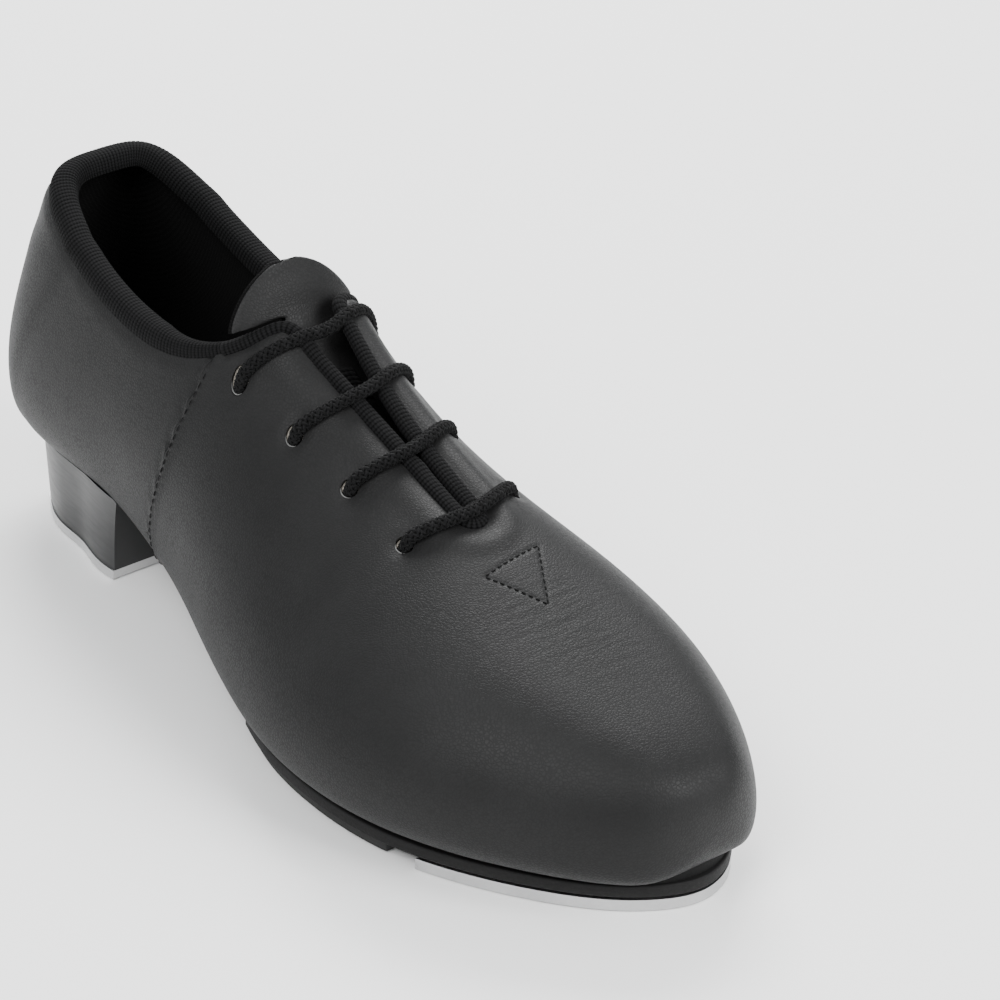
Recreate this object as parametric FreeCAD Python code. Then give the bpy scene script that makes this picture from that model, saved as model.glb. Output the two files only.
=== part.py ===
import FreeCAD, Part
import math
import os

# Right tap shoe, millimetres. x runs from the heel's back to the toe, +y is the inner (medial)
# side, z is up from the floor. Stations are written with x counted from the heel's back; the
# finished parts are shifted so that the origin is at the middle of the bounding box's base.

V = FreeCAD.Vector

# driving dimensions
LEATHER = 1.4            # upper leather
LINING_LOW = 2.4         # lining's outer face, below the collar padding
LINING_HIGH = 5.4        # the same at the padded collar
LINING_T = 1.0
ORIGIN_X = 127.25        # shift of the finished parts
ORIGIN_Y = -8.14
TAP_T = 2.8              # aluminium taps
SOLE_BASE = 3.4          # underside of the forefoot outsole
OUTSOLE_TOP = 6.6
WELT_TOP = 9.7
SOLE_REAR = 138.0        # where the forefoot sole starts
FLEX_X = 186.0           # line of the ball flex
PAD_REAR, PAD_FRONT = 144.5, 195.5
BREAST_X = 61.0          # heel breast
TONGUE_SPLIT = 103.4
LACE_R = 1.6
LEAN = 8.5               # how far the heel's back leans forward at the top of the last
GAP = 0.3                # between pieces that move apart
SEAT_GAP = 0.12          # between the upper and what it stands on

# cross-section shapes: eight control points (across, up) from the bottom centre to the top centre
HEEL = [(0, 0), (0.55, 0), (0.88, 0.00), (1.04, 0.17), (0.99, 0.42), (0.72, 0.74), (0.60, 1.0), (0, 1.0)]
INSTEP = [(0, 0), (0.55, 0), (0.95, 0.00), (1.11, 0.17), (0.99, 0.46), (0.58, 0.80), (0.17, 1.0), (0, 1.0)]
TOE = [(0, 0), (0.55, 0), (0.97, 0.00), (1.12, 0.26), (1.00, 0.70), (0.64, 0.98), (0.25, 1.0), (0, 1.0)]

# x, lateral half, medial half, centre at the bottom, centre at the top, bottom, top, shape weights
STATIONS = [
    (-1, 0, 0, 0, 0, 44, 44, 1, 0, 0),
    (-1, 9.5, 9.5, 0, 0, 31, 62, 1, 0, 0),
    (4.5, 21.5, 21, 0, 0, 23.2, 88, 1, 0, 0),
    (17, 29.5, 28.5, 0, 0, 22.2, 106, 1, 0, 0),
    (36, 31, 29.5, 0, 0, 22, 108, 1, 0, 0),
    (58, 30.5, 28, 0, 0, 21, 107, 1, 0, 0),
    (80, 32, 27, 0, 1, 15.5, 101, 0.8, 0.2, 0),
    (100, 34.8, 27, -1, 4, 12, 94.5, 0.4, 0.6, 0),
    (120, 40, 29, -1.5, 4, 9.5, 82, 0, 1, 0),
    (140, 45.4, 32, -2, 3, 7.7, 72, 0, 1, 0),
    (160, 50, 35.5, -2, 2.5, 6.6, 65, 0, 0.9, 0.1),
    (180, 50.5, 37.5, -2, 1, 6.2, 59, 0, 0.6, 0.4),
    (198, 47.5, 37, -2, -0.5, 6.2, 52.5, 0, 0.3, 0.7),
    (216, 41.5, 33, -1, -1, 6.6, 46.5, 0, 0, 1),
    (232, 33.5, 26.5, 0, 0, 7.5, 41.5, 0, 0, 1),
    (246.5, 23.5, 18.2, 0.5, 0.5, 8.2, 37, 0, 0, 1),
    (255.5, 14, 10.5, 1, 1, 10, 31, 0, 0, 1),
    (255.5, 0, 0, 1, 1, 20, 20, 0, 0, 1),
]

# top edge of the upper seen from the side
COLLAR = [(-25, 90), (-2, 93), (8, 93.5), (20, 90), (40, 81), (60, 74.5), (78, 72.3), (92, 74.8), (101, 79.2),
          (107, 84.5), (110, 95), (111, 125)]
# seam between the quarter and the vamp, from the top down
SEAM = [(96, 125), (96, 80), (92.5, 62), (88.5, 42), (85.5, 26), (84, 5), (84, -10)]
# lace slits: x, y on the lateral side and on the medial side, from the collar towards the toe
SLITS = [((105.0, -19.0), (107.6, 17.6)), ((125.2, -18.0), (124.6, 15.6)), ((145.8, -17.4), (143.6, 13.8)),
         ((167.6, -18.2), (165.2, 14.6))]
BOW = (4.6, 3.6, 3.0, 2.6)   # how far each lace bar bows towards the toe
THROAT = [(98, 0.0, 8.6), (112, -0.2, 7.2), (126, -0.6, 5.6), (145, -1.2, 4.3), (171, -2.0, 3.6)]
THROAT_END = 175.0

# forefoot sole in plan: x and y of its lateral and medial edge, and its tip
SOLE_OUTER = [(118, -34), (130, -39.6), (140, -43.4), (152, -46.9), (166, -48.7), (182, -48.5), (198, -45.6),
              (214, -39.2), (230, -29.6), (241, -20.6), (248.6, -11)]
SOLE_INNER = [(118, 23), (130, 25.6), (140, 27.8), (152, 30), (166, 32), (182, 33), (198, 32.4), (214, 29.6),
              (230, 24.0), (241, 17.8), (248.6, 10.5)]
SOLE_TIP = (252.4, -0.3)

SCREW_TOE = [(214, -26), (240, -10), (241, 9), (222, 22)]
SCREW_HEEL = [(16, 0), (48, -17), (48, 17)]


# the last's surface, moved inwards by low (and by high where the collar is padded)
def upperNet(low, high):
    rows = []
    for number, (x, lateral, medial, base, crown, bottom, top, heel, instep, toe) in enumerate(STATIONS):
        shape = [tuple(heel * h[i] + instep * s[i] + toe * t[i] for i in (0, 1)) for h, s, t in zip(HEEL, INSTEP, TOE)]
        closing = lateral == 0
        lean = LEAN * (0, 1, 1, 1, 1, 0.7, 0.35)[number] if number < 7 else 0
        if number < 2:
            x += low
        elif number > len(STATIONS) - 3:
            x -= low
        ring = []
        for side, half in ((-1, lateral), (1, medial)):
            points = []
            for across, up in shape:
                inset = low + (high - low) * heel * min(1.0, max(0.0, (up - 0.35) / 0.35))
                reach = 0 if closing else max(half - inset, 0.3)
                lower, upper = (bottom, top) if closing else (bottom + low, top - low)
                z = lower + up * (upper - lower)
                points.append(V(x + lean * max(0.0, (z - 42) / 60) ** 1.5, base + (crown - base) * up + side * reach * across, z))
            ring.append(points)
        rows.append(ring[0] + ring[1][-2:0:-1])
    return rows


def upperSurface(low, high=None):
    rows = upperNet(low, low if high is None else high)
    inner = len(rows) - 4
    surface = Part.BSplineSurface()
    surface.buildFromPolesMultsKnots(rows, [4] + [1] * inner + [4], [1] * (len(rows[0]) + 1),
                                     list(range(inner + 2)), list(range(len(rows[0]) + 1)), False, True, 3, 3)
    return surface


def solidOf(surface):
    solid = Part.Solid(Part.Shell([surface.toShape()]))
    if solid.Volume < 0:
        solid.reverse()
    return solid


def smoothEdge(points):
    curve = Part.BSplineCurve()
    curve.interpolate(points)
    return curve.toShape()


# a wall as wide as the shoe from a closed outline in the side view
def sideWall(edges):
    return Part.Face(Part.Wire(edges)).extrude(V(0, 160, 0))


def above(profile, lift=0.0):
    points = [V(x, -80, z + lift) for x, z in profile]
    first, last = points[0], points[-1]
    far = [V(last.x, -80, 150), V(first.x, -80, 150)]
    edges = [smoothEdge(points), Part.makeLine(last, far[0]) if abs(last.z - 150) > 1e-6 else None,
             Part.makeLine(far[0], far[1]), Part.makeLine(far[1], first)]
    return sideWall([edge for edge in edges if edge])


# a layer that follows the bottom of a surface, from low to high above it
def between(surface, low, high, start, end):
    guide = surface.vIso(surface.bounds()[2])
    samples = [guide.value(guide.FirstParameter + (guide.LastParameter - guide.FirstParameter) * i / 240)
               for i in range(241)]
    picks = []
    for point in samples:
        if 12 < point.x < 244 and (not picks or point.x > picks[-1].x + 8):
            picks.append(V(point.x, -80, point.z))
    picks = [V(-30, -80, picks[0].z), V(-8, -80, picks[0].z)] + picks
    picks += [V(262, -80, picks[-1].z + 1.2), V(285, -80, picks[-1].z + 2)]
    floor = [p + V(0, 0, low) for p in picks]
    roof = [p + V(0, 0, high) for p in picks]
    wall = sideWall([smoothEdge(floor), Part.makeLine(floor[-1], roof[-1]), smoothEdge(roof),
                     Part.makeLine(roof[0], floor[0])])
    return wall.common(block(start, end, -80, 80, -20, 140))


def block(x0, x1, y0, y1, z0, z1):
    return Part.makeBox(x1 - x0, y1 - y0, z1 - z0, V(x0, y0, z0))


# height of the upper's outside over a point
def topAt(x, y):
    line = Part.makeLine(V(x, y, 30), V(x, y, 150))
    return outer.common(line).BoundBox.ZMax


# outline of the sole in plan, grown by the given amount
def solePlan(grow, start):
    lateral = [(x, y - grow) for x, y in SOLE_OUTER]
    medial = [(x, y + grow) for x, y in SOLE_INNER]
    tip = [(SOLE_TIP[0] + grow, SOLE_TIP[1])]
    points = [V(x, y, 0) for x, y in lateral + tip + medial[::-1]]
    edge = smoothEdge(points)
    plate = Part.Face(Part.Wire([edge, Part.makeLine(points[-1], points[0])]))
    solid = plate.extrude(V(0, 0, 40))
    return solid.common(block(start, 300, -90, 90, -1, 41))


def heelPlan(grow, z, back, breast):
    half, nose = 27.4 + grow, 40.0
    points = [V(breast, -half - 0.8, z), V(breast - 12, -half, z), V(nose + 3, -half + 1.1, z)]
    for degrees in (104, 124, 144, 162, 180, 198, 216, 236, 256):
        turn = math.radians(degrees)
        points.append(V(nose + (nose - back) * math.cos(turn), -(half - 1.2) * math.sin(turn), z))
    points += [V(nose + 3, half - 1.1, z), V(breast - 12, half - 0.6, z), V(breast, half - 1.4, z)]
    return Part.Wire([smoothEdge(points), Part.makeLine(points[-1], points[0])])


# a tube along straight runs joined by tangent arcs
def tube(points, radius, bend=0.45, least=None):
    edges, radii, length = [], [], 0.0
    start = points[0]
    for i in range(1, len(points) - 1):
        a, b, c = points[i - 1], points[i], points[i + 1]
        u, w = (a - b), (c - b)
        run = min(u.Length, w.Length)
        u.normalize()
        w.normalize()
        turn = math.pi - u.getAngle(w)
        if turn < 0.02:
            continue
        reach = bend * run
        r = reach / math.tan(turn / 2)
        if r > 60:
            r, reach = 60.0, 60.0 * math.tan(turn / 2)
        p, q = b + u * reach, b + w * reach
        middle = (u + w)
        middle.normalize()
        m = b + middle * (r / math.cos(turn / 2) - r)
        if (p - start).Length > 1e-4:
            edges.append(Part.makeLine(start, p))
        edges.append(Part.Arc(p, m, q).toShape())
        radii.append(r)
        start = q
    edges.append(Part.makeLine(start, points[-1]))
    path = Part.Wire(edges)
    way = points[1] - points[0]
    ring = Part.Wire([Part.makeCircle(radius, points[0], way)])
    solid = path.makePipeShell([ring], True, False, 2)
    print("tube length %.1f, least radius %.1f, volume %.1f of %.1f" % (
        path.Length, min(radii), solid.Volume, path.Length * math.pi * radius ** 2))
    return solid


def screwPair(x, y, z, head, shank, depth):
    cone = Part.makeCone(head - 0.15, shank, head - shank, V(x, y, z + 0.02), V(0, 0, 1))
    body = Part.makeCylinder(shank, depth, V(x, y, z + 0.02), V(0, 0, 1))
    slot = block(x - 0.3, x + 0.3, y - head, y + head, z - 1, z + 0.55)
    cross = block(x - head, x + head, y - 0.3, y + 0.3, z - 1, z + 0.55)
    trim = Part.makeCylinder(head * 0.62, 4, V(x, y, z - 2))
    return cone.fuse(body).cut(slot.fuse(cross).common(trim))


def screwHole(x, y, z, head, shank, depth, spare=0.1):
    cone = Part.makeCone(head, shank + spare, head - shank - spare, V(x, y, z), V(0, 0, 1))
    return cone.fuse(Part.makeCylinder(shank + spare, depth, V(x, y, z - 0.5), V(0, 0, 1)))


def tongueSheet(rows, half, drop, lift=0.0):
    net = []
    for x, z, scale in rows:
        sides = [f * half * scale for f in (-1, -0.72, -0.36, 0, 0.36, 0.72, 1)]
        net.append([V(x + (1 - scale) * 2 * abs(y) / half, y - 0.8, z + lift - drop * y * y) for y in sides])
    surface = Part.BSplineSurface()
    surface.interpolate(net)
    return surface.toShape()


parts = {}
outer = solidOf(upperSurface(0))
behind = solidOf(upperSurface(LEATHER + 0.02))
liningOut = solidOf(upperSurface(LINING_LOW, LINING_HIGH))
liningIn = solidOf(upperSurface(LINING_LOW + LINING_T, LINING_HIGH + LINING_T))
cavity = solidOf(upperSurface(LINING_LOW + LINING_T + 0.05, LINING_HIGH + LINING_T + 0.05))
print("last volumes", [round(s.Volume) for s in (outer, behind, liningOut, liningIn)], outer.isValid())

# cutters shared by the layers of the upper
mouth = above(COLLAR)
seamEdge = smoothEdge([V(x, -80, z) for x, z in SEAM])
rearOfSeam = sideWall([seamEdge, Part.makeLine(V(84, -80, -10), V(-30, -80, -10)),
                       Part.makeLine(V(-30, -80, -10), V(-30, -80, 125)), Part.makeLine(V(-30, -80, 125), V(96, -80, 125))])
frontOfSeam = sideWall([smoothEdge([V(x + GAP, -80, z) for x, z in SEAM]),
                        Part.makeLine(V(84 + GAP, -80, -10), V(300, -80, -10)),
                        Part.makeLine(V(300, -80, -10), V(300, -80, 125)),
                        Part.makeLine(V(300, -80, 125), V(96 + GAP, -80, 125))])


def throatCut(spare=0.0):
    left = [V(x, y - w - spare, 40) for x, y, w in THROAT]
    right = [V(x, y + w + spare, 40) for x, y, w in THROAT]
    end = V(THROAT_END + spare, THROAT[-1][1], 40)
    edges = [smoothEdge(left), Part.Arc(left[-1], end, right[-1]).toShape(), smoothEdge(right[::-1]),
             Part.makeLine(right[0], left[0])]
    return Part.Face(Part.Wire(edges)).extrude(V(0, 0, 100))


throat = throatCut()
slitHoles = Part.makeCompound([Part.makeCylinder(LACE_R + 0.35, 40, V(x, y, topAt(x, y) - 25))
                               for pair in SLITS for x, y in pair])
midSlice = block(-30, FLEX_X - GAP / 2, -90, 90, -20, 150)
toeSlice = block(FLEX_X + GAP / 2, 300, -90, 90, -20, 150)


def openUpper(shell):
    return shell.cut(mouth).cut(throat).cut(slitHoles)


leatherShell = openUpper(outer.cut(behind))
parts["quarter"] = leatherShell.common(rearOfSeam)
vamp = leatherShell.common(frontOfSeam)
parts["vamp_instep"] = vamp.common(midSlice)
parts["vamp_toe"] = vamp.common(toeSlice)

middle = solidOf(upperSurface(LEATHER + 0.06, LEATHER + 0.06)).cut(solidOf(upperSurface(LINING_LOW - 0.04, LINING_HIGH - 0.04)))
middle = openUpper(middle)
parts["heel_counter"] = middle.common(block(-20, 72, -90, 90, 20, 56))
parts["collar_padding"] = middle.common(rearOfSeam).common(block(-20, 120, -90, 90, 56.4, 130))
parts["facing_stay"] = middle.common(frontOfSeam).common(block(80, 172, -90, 90, 40, 130)).common(block(80, 172, -26, 22, 0, 130))
parts["toe_puff"] = middle.common(block(212, 300, -90, 90, 14, 80))

liningShell = openUpper(liningOut.cut(liningIn))
parts["quarter_lining"] = liningShell.common(rearOfSeam)
vampLining = liningShell.common(frontOfSeam)
parts["instep_lining"] = vampLining.common(midSlice)
parts["toe_lining"] = vampLining.common(toeSlice)

# rolled knit edge round the collar and the narrower edge down the throat
rollOut = solidOf(upperSurface(-0.5, -0.5))
rollIn = solidOf(upperSurface(LINING_LOW + LINING_T + 0.6, LINING_HIGH + LINING_T + 1.0))
roll = rollOut.cut(rollIn).common(above(COLLAR, 0.1).cut(above(COLLAR, 4.6)))
rearRoll = roll.common(block(-30, 99.5, -90, 90, 50, 130))
parts["collar_binding"] = rearRoll
edgeBand = solidOf(upperSurface(-0.7)).cut(solidOf(upperSurface(LINING_LOW + LINING_T + 0.5)))
edgeBand = edgeBand.common(block(99.8, 200, -90, 90, 30, 130))
cornerRoll = edgeBand.common(above(COLLAR, 0.1).cut(above(COLLAR, 2.2))).cut(throat)
slotRoll = edgeBand.common(throatCut(-0.05)).cut(throatCut(-2.2)).cut(above(COLLAR, 2.2))
parts["throat_binding"] = cornerRoll.fuse(slotRoll)

# footbed and insole boards
bedSurface = upperSurface(LINING_LOW + LINING_T + 0.05)
parts["insole_heel"] = cavity.common(between(bedSurface, -2, 2.0, -5, 66))
parts["insole_ball"] = cavity.common(between(bedSurface, -2, 2.0, 132, FLEX_X - GAP / 2))
parts["insole_toe"] = cavity.common(between(bedSurface, -2, 2.0, FLEX_X + GAP / 2, 280))
parts["sock_heel"] = cavity.common(between(bedSurface, 2.05, 4.6, -5, 100 - GAP / 2))
parts["sock_ball"] = cavity.common(between(bedSurface, 2.05, 4.2, 100 + GAP / 2, FLEX_X - GAP / 2))
parts["sock_toe"] = cavity.common(between(bedSurface, 2.05, 4.2, FLEX_X + GAP / 2, 280))

# forefoot sole
seat = solidOf(upperSurface(-SEAT_GAP))
outsole = solePlan(0.0, SOLE_REAR).common(block(100, 300, -90, 90, SOLE_BASE, OUTSOLE_TOP)).cut(seat)
welt = solePlan(-1.3, SOLE_REAR + 0.8).common(block(100, 300, -90, 90, OUTSOLE_TOP + 0.02, WELT_TOP)).cut(seat)
rearBevel = Part.Face(Part.Wire(Part.makePolygon([V(SOLE_REAR - 5, -80, SOLE_BASE - 1), V(SOLE_REAR + 9, -80, SOLE_BASE - 1),
                                                  V(SOLE_REAR - 1, -80, OUTSOLE_TOP), V(SOLE_REAR - 5, -80, OUTSOLE_TOP),
                                                  V(SOLE_REAR - 5, -80, SOLE_BASE - 1)]))).extrude(V(0, 160, 0))
outsole = outsole.cut(rearBevel)
parts["outsole_ball"] = outsole.common(midSlice)
parts["outsole_toe"] = outsole.common(toeSlice)
parts["welt_ball"] = welt.common(midSlice)
parts["welt_toe"] = welt.common(toeSlice)

pad = solePlan(-1.7, PAD_REAR).common(block(PAD_REAR, PAD_FRONT, -90, 90, 0, SOLE_BASE - 0.02))
parts["pad_rear"] = pad.common(midSlice)
parts["pad_front"] = pad.common(toeSlice)

rearCurve = smoothEdge([V(205, -70, -5), V(204.5, -42, -5), V(207, -24, -5), V(208.5, 0, -5), V(206, 20, -5), V(201, 36, -5),
                        V(200, 70, -5)])
tapArea = Part.Face(Part.Wire([rearCurve, Part.makeLine(V(200, 70, -5), V(290, 70, -5)),
                               Part.makeLine(V(290, 70, -5), V(290, -70, -5)),
                               Part.makeLine(V(290, -70, -5), V(205, -70, -5))])).extrude(V(0, 0, 30))
tapPlan = solePlan(-0.2, 190).common(tapArea)
tap = tapPlan.common(block(150, 300, -90, 90, 0, TAP_T))
tap = tap.cut(Part.makeCompound([screwHole(x, y, 0, 3.2, 1.5, 9) for x, y in SCREW_TOE]))
board = solePlan(-1.5, 190).common(tapArea).common(block(150, 300, -90, 90, TAP_T + 0.02, SOLE_BASE - 0.02))
shankHoles = Part.makeCompound([Part.makeCylinder(1.6, 12, V(x, y, -1)) for x, y in SCREW_TOE])
parts["toe_tap"] = tap
parts["toe_tap_board"] = board.cut(shankHoles)
parts["outsole_toe"] = parts["outsole_toe"].cut(shankHoles)
parts["toe_tap_screws"] = Part.makeCompound([screwPair(x, y, 0, 3.2, 1.5, 6.2) for x, y in SCREW_TOE])

# heel
heelLoft = Part.makeLoft([heelPlan(-0.5, TAP_T, 5.4, BREAST_X - 1), heelPlan(-0.2, 12, 4.9, BREAST_X),
                          heelPlan(0.4, 26.5, 4.0, BREAST_X + 3)], True, False)
parts["heel_block"] = heelLoft.common(block(-20, 90, -60, 60, TAP_T, 24.6)).cut(seat)
tapHeel = Part.makeLoft([heelPlan(-0.3, 0, 5.4, BREAST_X - 1.6), heelPlan(-0.2, TAP_T - 0.02, 5.2, BREAST_X - 1)], True)
parts["heel_tap"] = tapHeel.cut(Part.makeCompound([screwHole(x, y, 0, 3.2, 1.5, 9) for x, y in SCREW_HEEL]))
pilot = Part.makeCompound([Part.makeCylinder(1.6, 14, V(x, y, -1)) for x, y in SCREW_HEEL])
nails = [(22, -12), (22, 12), (50, -9), (50, 9), (36, 0)]
nailHoles = Part.makeCompound([Part.makeCylinder(1.15, 40, V(x, y, 12)) for x, y in nails])
parts["heel_block"] = parts["heel_block"].cut(pilot).cut(nailHoles)
parts["heel_tap_screws"] = Part.makeCompound([screwPair(x, y, 0, 3.2, 1.5, 11) for x, y in SCREW_HEEL])
for name in ("quarter", "quarter_lining", "insole_heel", "heel_counter"):
    parts[name] = parts[name].cut(nailHoles)
nailBodies = []
for x, y in nails:
    top = parts["insole_heel"].common(Part.makeLine(V(x + 1.6, y, 15), V(x + 1.6, y, 45))).BoundBox.ZMax
    nailBodies.append(Part.makeCylinder(1.0, top - 13, V(x, y, 13)))
parts["heel_nails"] = Part.makeCompound(nailBodies)

# tongue: leather and lining, each in a fixed part and a free top
body = [(197, 46.0, 1), (186, 50.5, 1), (172, 54.0, 1), (156, 57.8, 1), (140, 62.5, 1), (126, 68.4, 1),
        (116, 74.6, 1), (110, 79.4, 1), (106, 83.6, 1), (TONGUE_SPLIT + 0.4, 87.2, 1)]
free = [(TONGUE_SPLIT, 88.0, 0.88), (102, 91.2, 0.86), (100.4, 94.4, 0.78), (99, 97.5, 0.6)]
wallZone = solidOf(upperSurface(-3)).cut(solidOf(upperSurface(LINING_LOW + LINING_T + 0.9)))
wallZone = wallZone.cut(above(COLLAR, 4.9)).common(block(85, 200, -60, 60, 30, 120))


def tonguePiece(rows, lift, push):
    return tongueSheet(rows, 19.0, 0.034, lift).extrude(push).cut(wallZone)


def largest(shape):
    return max(shape.Solids, key=lambda s: s.Volume)


parts["tongue_body"] = largest(tonguePiece(body, 0, V(0, 0, -1.5)))
parts["tongue_body_lining"] = largest(tonguePiece(body, -1.55, V(0, 0, -1.0)))
parts["tongue_top"] = largest(tonguePiece(free, 0, V(-1.0, 0, -0.9)))
liningRows = [(x - 1.03, z - 0.93, scale) for x, z, scale in free]
parts["tongue_top_lining"] = largest(tonguePiece(liningRows, 0, V(-0.6, 0, -0.55)))

loopSheet = tongueSheet([(124.5, 69.3, 1), (121, 71.4, 1), (117.5, 73.7, 1)], 6.0, 0.034, 0.1)
parts["lace_keeper"] = loopSheet.extrude(V(0, 0, 1.2)).cut(parts["tongue_body"])


# lace: four straight bars, with its runs between them and both ends inside
def barPoints(lateral, medial, bow):
    points = []
    (x0, y0), (x1, y1) = lateral, medial
    for f, lift in ((0.0, 0.9), (0.12, 2.0), (0.34, 2.0), (0.52, 1.7), (0.70, 2.0), (0.89, 2.0), (1.0, 0.9)):
        x, y = x0 + (x1 - x0) * f + bow * 4 * f * (1 - f), y0 + (y1 - y0) * f
        z = topAt(x, y) + lift
        points.append(V(x, y, z))
    return points


def under(place, depth=7.2, shift=0.0, forward=0.0):
    x, y = place[0] + forward, place[1] + shift
    return V(x, y, topAt(x, y) - depth)


(l1, m1), (l2, m2), (l3, m3), (l4, m4) = SLITS
route = [under((l1[0] + 20, l1[1] - 13), 8.5), under((l1[0] + 9, l1[1] - 7), 7.6), under(l1)]
route += barPoints(l1, m1, BOW[0]) + [under(m1)]
route += [under(((m1[0] + m3[0]) / 2, m1[1] + 4.2), 7.4), under(m3)]
route += barPoints(l3, m3, BOW[2])[::-1] + [under(l3)] + [under(l4)]
route += barPoints(l4, m4, BOW[3]) + [under(m4)]
route += [under(((m4[0] + m2[0]) / 2, m4[1] - 4.6), 7.2), under(m2)]
route += barPoints(l2, m2, BOW[1])[::-1] + [under(l2)]
route += [under((l2[0] + 9, l2[1] - 6.5), 7.6), under((l2[0] + 20, l2[1] - 12), 8.5)]
parts["lace"] = tube(route, LACE_R)
groove = tube(route, LACE_R + 0.3)
for name in ("tongue_body", "tongue_body_lining"):
    parts[name] = largest(parts[name].cut(groove))

# stitched triangle in front of the throat
corners = [(187, -10.5), (185, 6.5), (200, -2.6)]
threads = []
for i in range(3):
    (x0, y0), (x1, y1) = corners[i], corners[(i + 1) % 3]
    for k in range(7):
        f, g = (k + 0.2) / 7, (k + 0.75) / 7
        a = V(x0 + (x1 - x0) * f, y0 + (y1 - y0) * f, 0)
        b = V(x0 + (x1 - x0) * g, y0 + (y1 - y0) * g, 0)
        a.z, b.z = topAt(a.x, a.y) + 0.32, topAt(b.x, b.y) + 0.32
        threads.append(Part.makeCylinder(0.28, (b - a).Length, a, b - a))
parts["triangle_stitch"] = Part.makeCompound(threads)

os.makedirs("parts", exist_ok=True)
box = FreeCAD.BoundBox()
for shape in parts.values():
    box.add(shape.optimalBoundingBox(False, False))
print("box x %.2f %.2f y %.2f %.2f z %.2f %.2f" % (box.XMin, box.XMax, box.YMin, box.YMax, box.ZMin, box.ZMax))
print("centre", round(box.Center.x, 2), round(box.Center.y, 2))
for name, shape in parts.items():
    solids = [s for s in shape.Solids if abs(s.Volume) > 0.02]
    result = solids[0] if len(solids) == 1 else Part.makeCompound(solids)
    result = result.copy()
    result.translate(V(-ORIGIN_X, -ORIGIN_Y, 0))
    result.exportStep("parts/%s.step" % name)
    b = result.optimalBoundingBox(False, False)
    print("%-20s solids %2d volume %9.1f valid %s  x %.1f %.1f z %.1f %.1f" % (
        name, len(solids), sum(s.Volume for s in solids), result.isValid(), b.XMin, b.XMax, b.ZMin, b.ZMax))
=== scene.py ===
import math
import bmesh
import bpy
from bisect import bisect_left
from mathutils import Matrix, Vector
from mathutils.bvhtree import BVHTree


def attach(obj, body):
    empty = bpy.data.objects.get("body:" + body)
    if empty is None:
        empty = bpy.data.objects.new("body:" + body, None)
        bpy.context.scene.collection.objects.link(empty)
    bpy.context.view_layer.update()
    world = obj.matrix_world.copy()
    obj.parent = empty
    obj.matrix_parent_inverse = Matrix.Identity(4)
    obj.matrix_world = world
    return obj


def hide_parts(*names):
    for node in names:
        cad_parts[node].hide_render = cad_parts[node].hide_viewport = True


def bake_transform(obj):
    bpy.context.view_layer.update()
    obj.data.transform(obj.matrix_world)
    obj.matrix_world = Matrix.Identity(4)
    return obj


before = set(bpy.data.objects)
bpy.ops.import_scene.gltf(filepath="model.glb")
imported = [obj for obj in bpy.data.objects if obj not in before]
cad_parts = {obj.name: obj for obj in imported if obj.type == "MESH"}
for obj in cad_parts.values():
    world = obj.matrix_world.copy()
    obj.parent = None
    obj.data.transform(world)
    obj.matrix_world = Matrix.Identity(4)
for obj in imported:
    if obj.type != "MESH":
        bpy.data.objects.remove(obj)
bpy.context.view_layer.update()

view = {"target": (0.00375, 0.00814, 0.045), "azimuth": 53.3, "elevation": 30.0, "distance": 0.9,
        "lens": 137.2, "roll": -0.3, "shift": (0.128, 0.004)}


def makeCamera():
    turn, lift = math.radians(view["azimuth"]), math.radians(view["elevation"])
    back = Vector((math.sin(turn) * math.cos(lift), -math.cos(turn) * math.cos(lift), math.sin(lift)))
    lens = bpy.data.cameras.new("camera")
    lens.lens, lens.sensor_width = view["lens"], 36
    lens.shift_x, lens.shift_y = view["shift"]
    lens.clip_start, lens.clip_end = 0.01, 20
    camera = bpy.data.objects.new("camera", lens)
    bpy.context.collection.objects.link(camera)
    look = back.to_track_quat("Z", "Y").to_matrix() @ Matrix.Rotation(math.radians(view["roll"]), 3, "Z")
    camera.matrix_world = Matrix.Translation(Vector(view["target"]) + back * view["distance"]) @ look.to_4x4()
    bpy.context.scene.camera = camera


makeCamera()
print("camera set")

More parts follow.
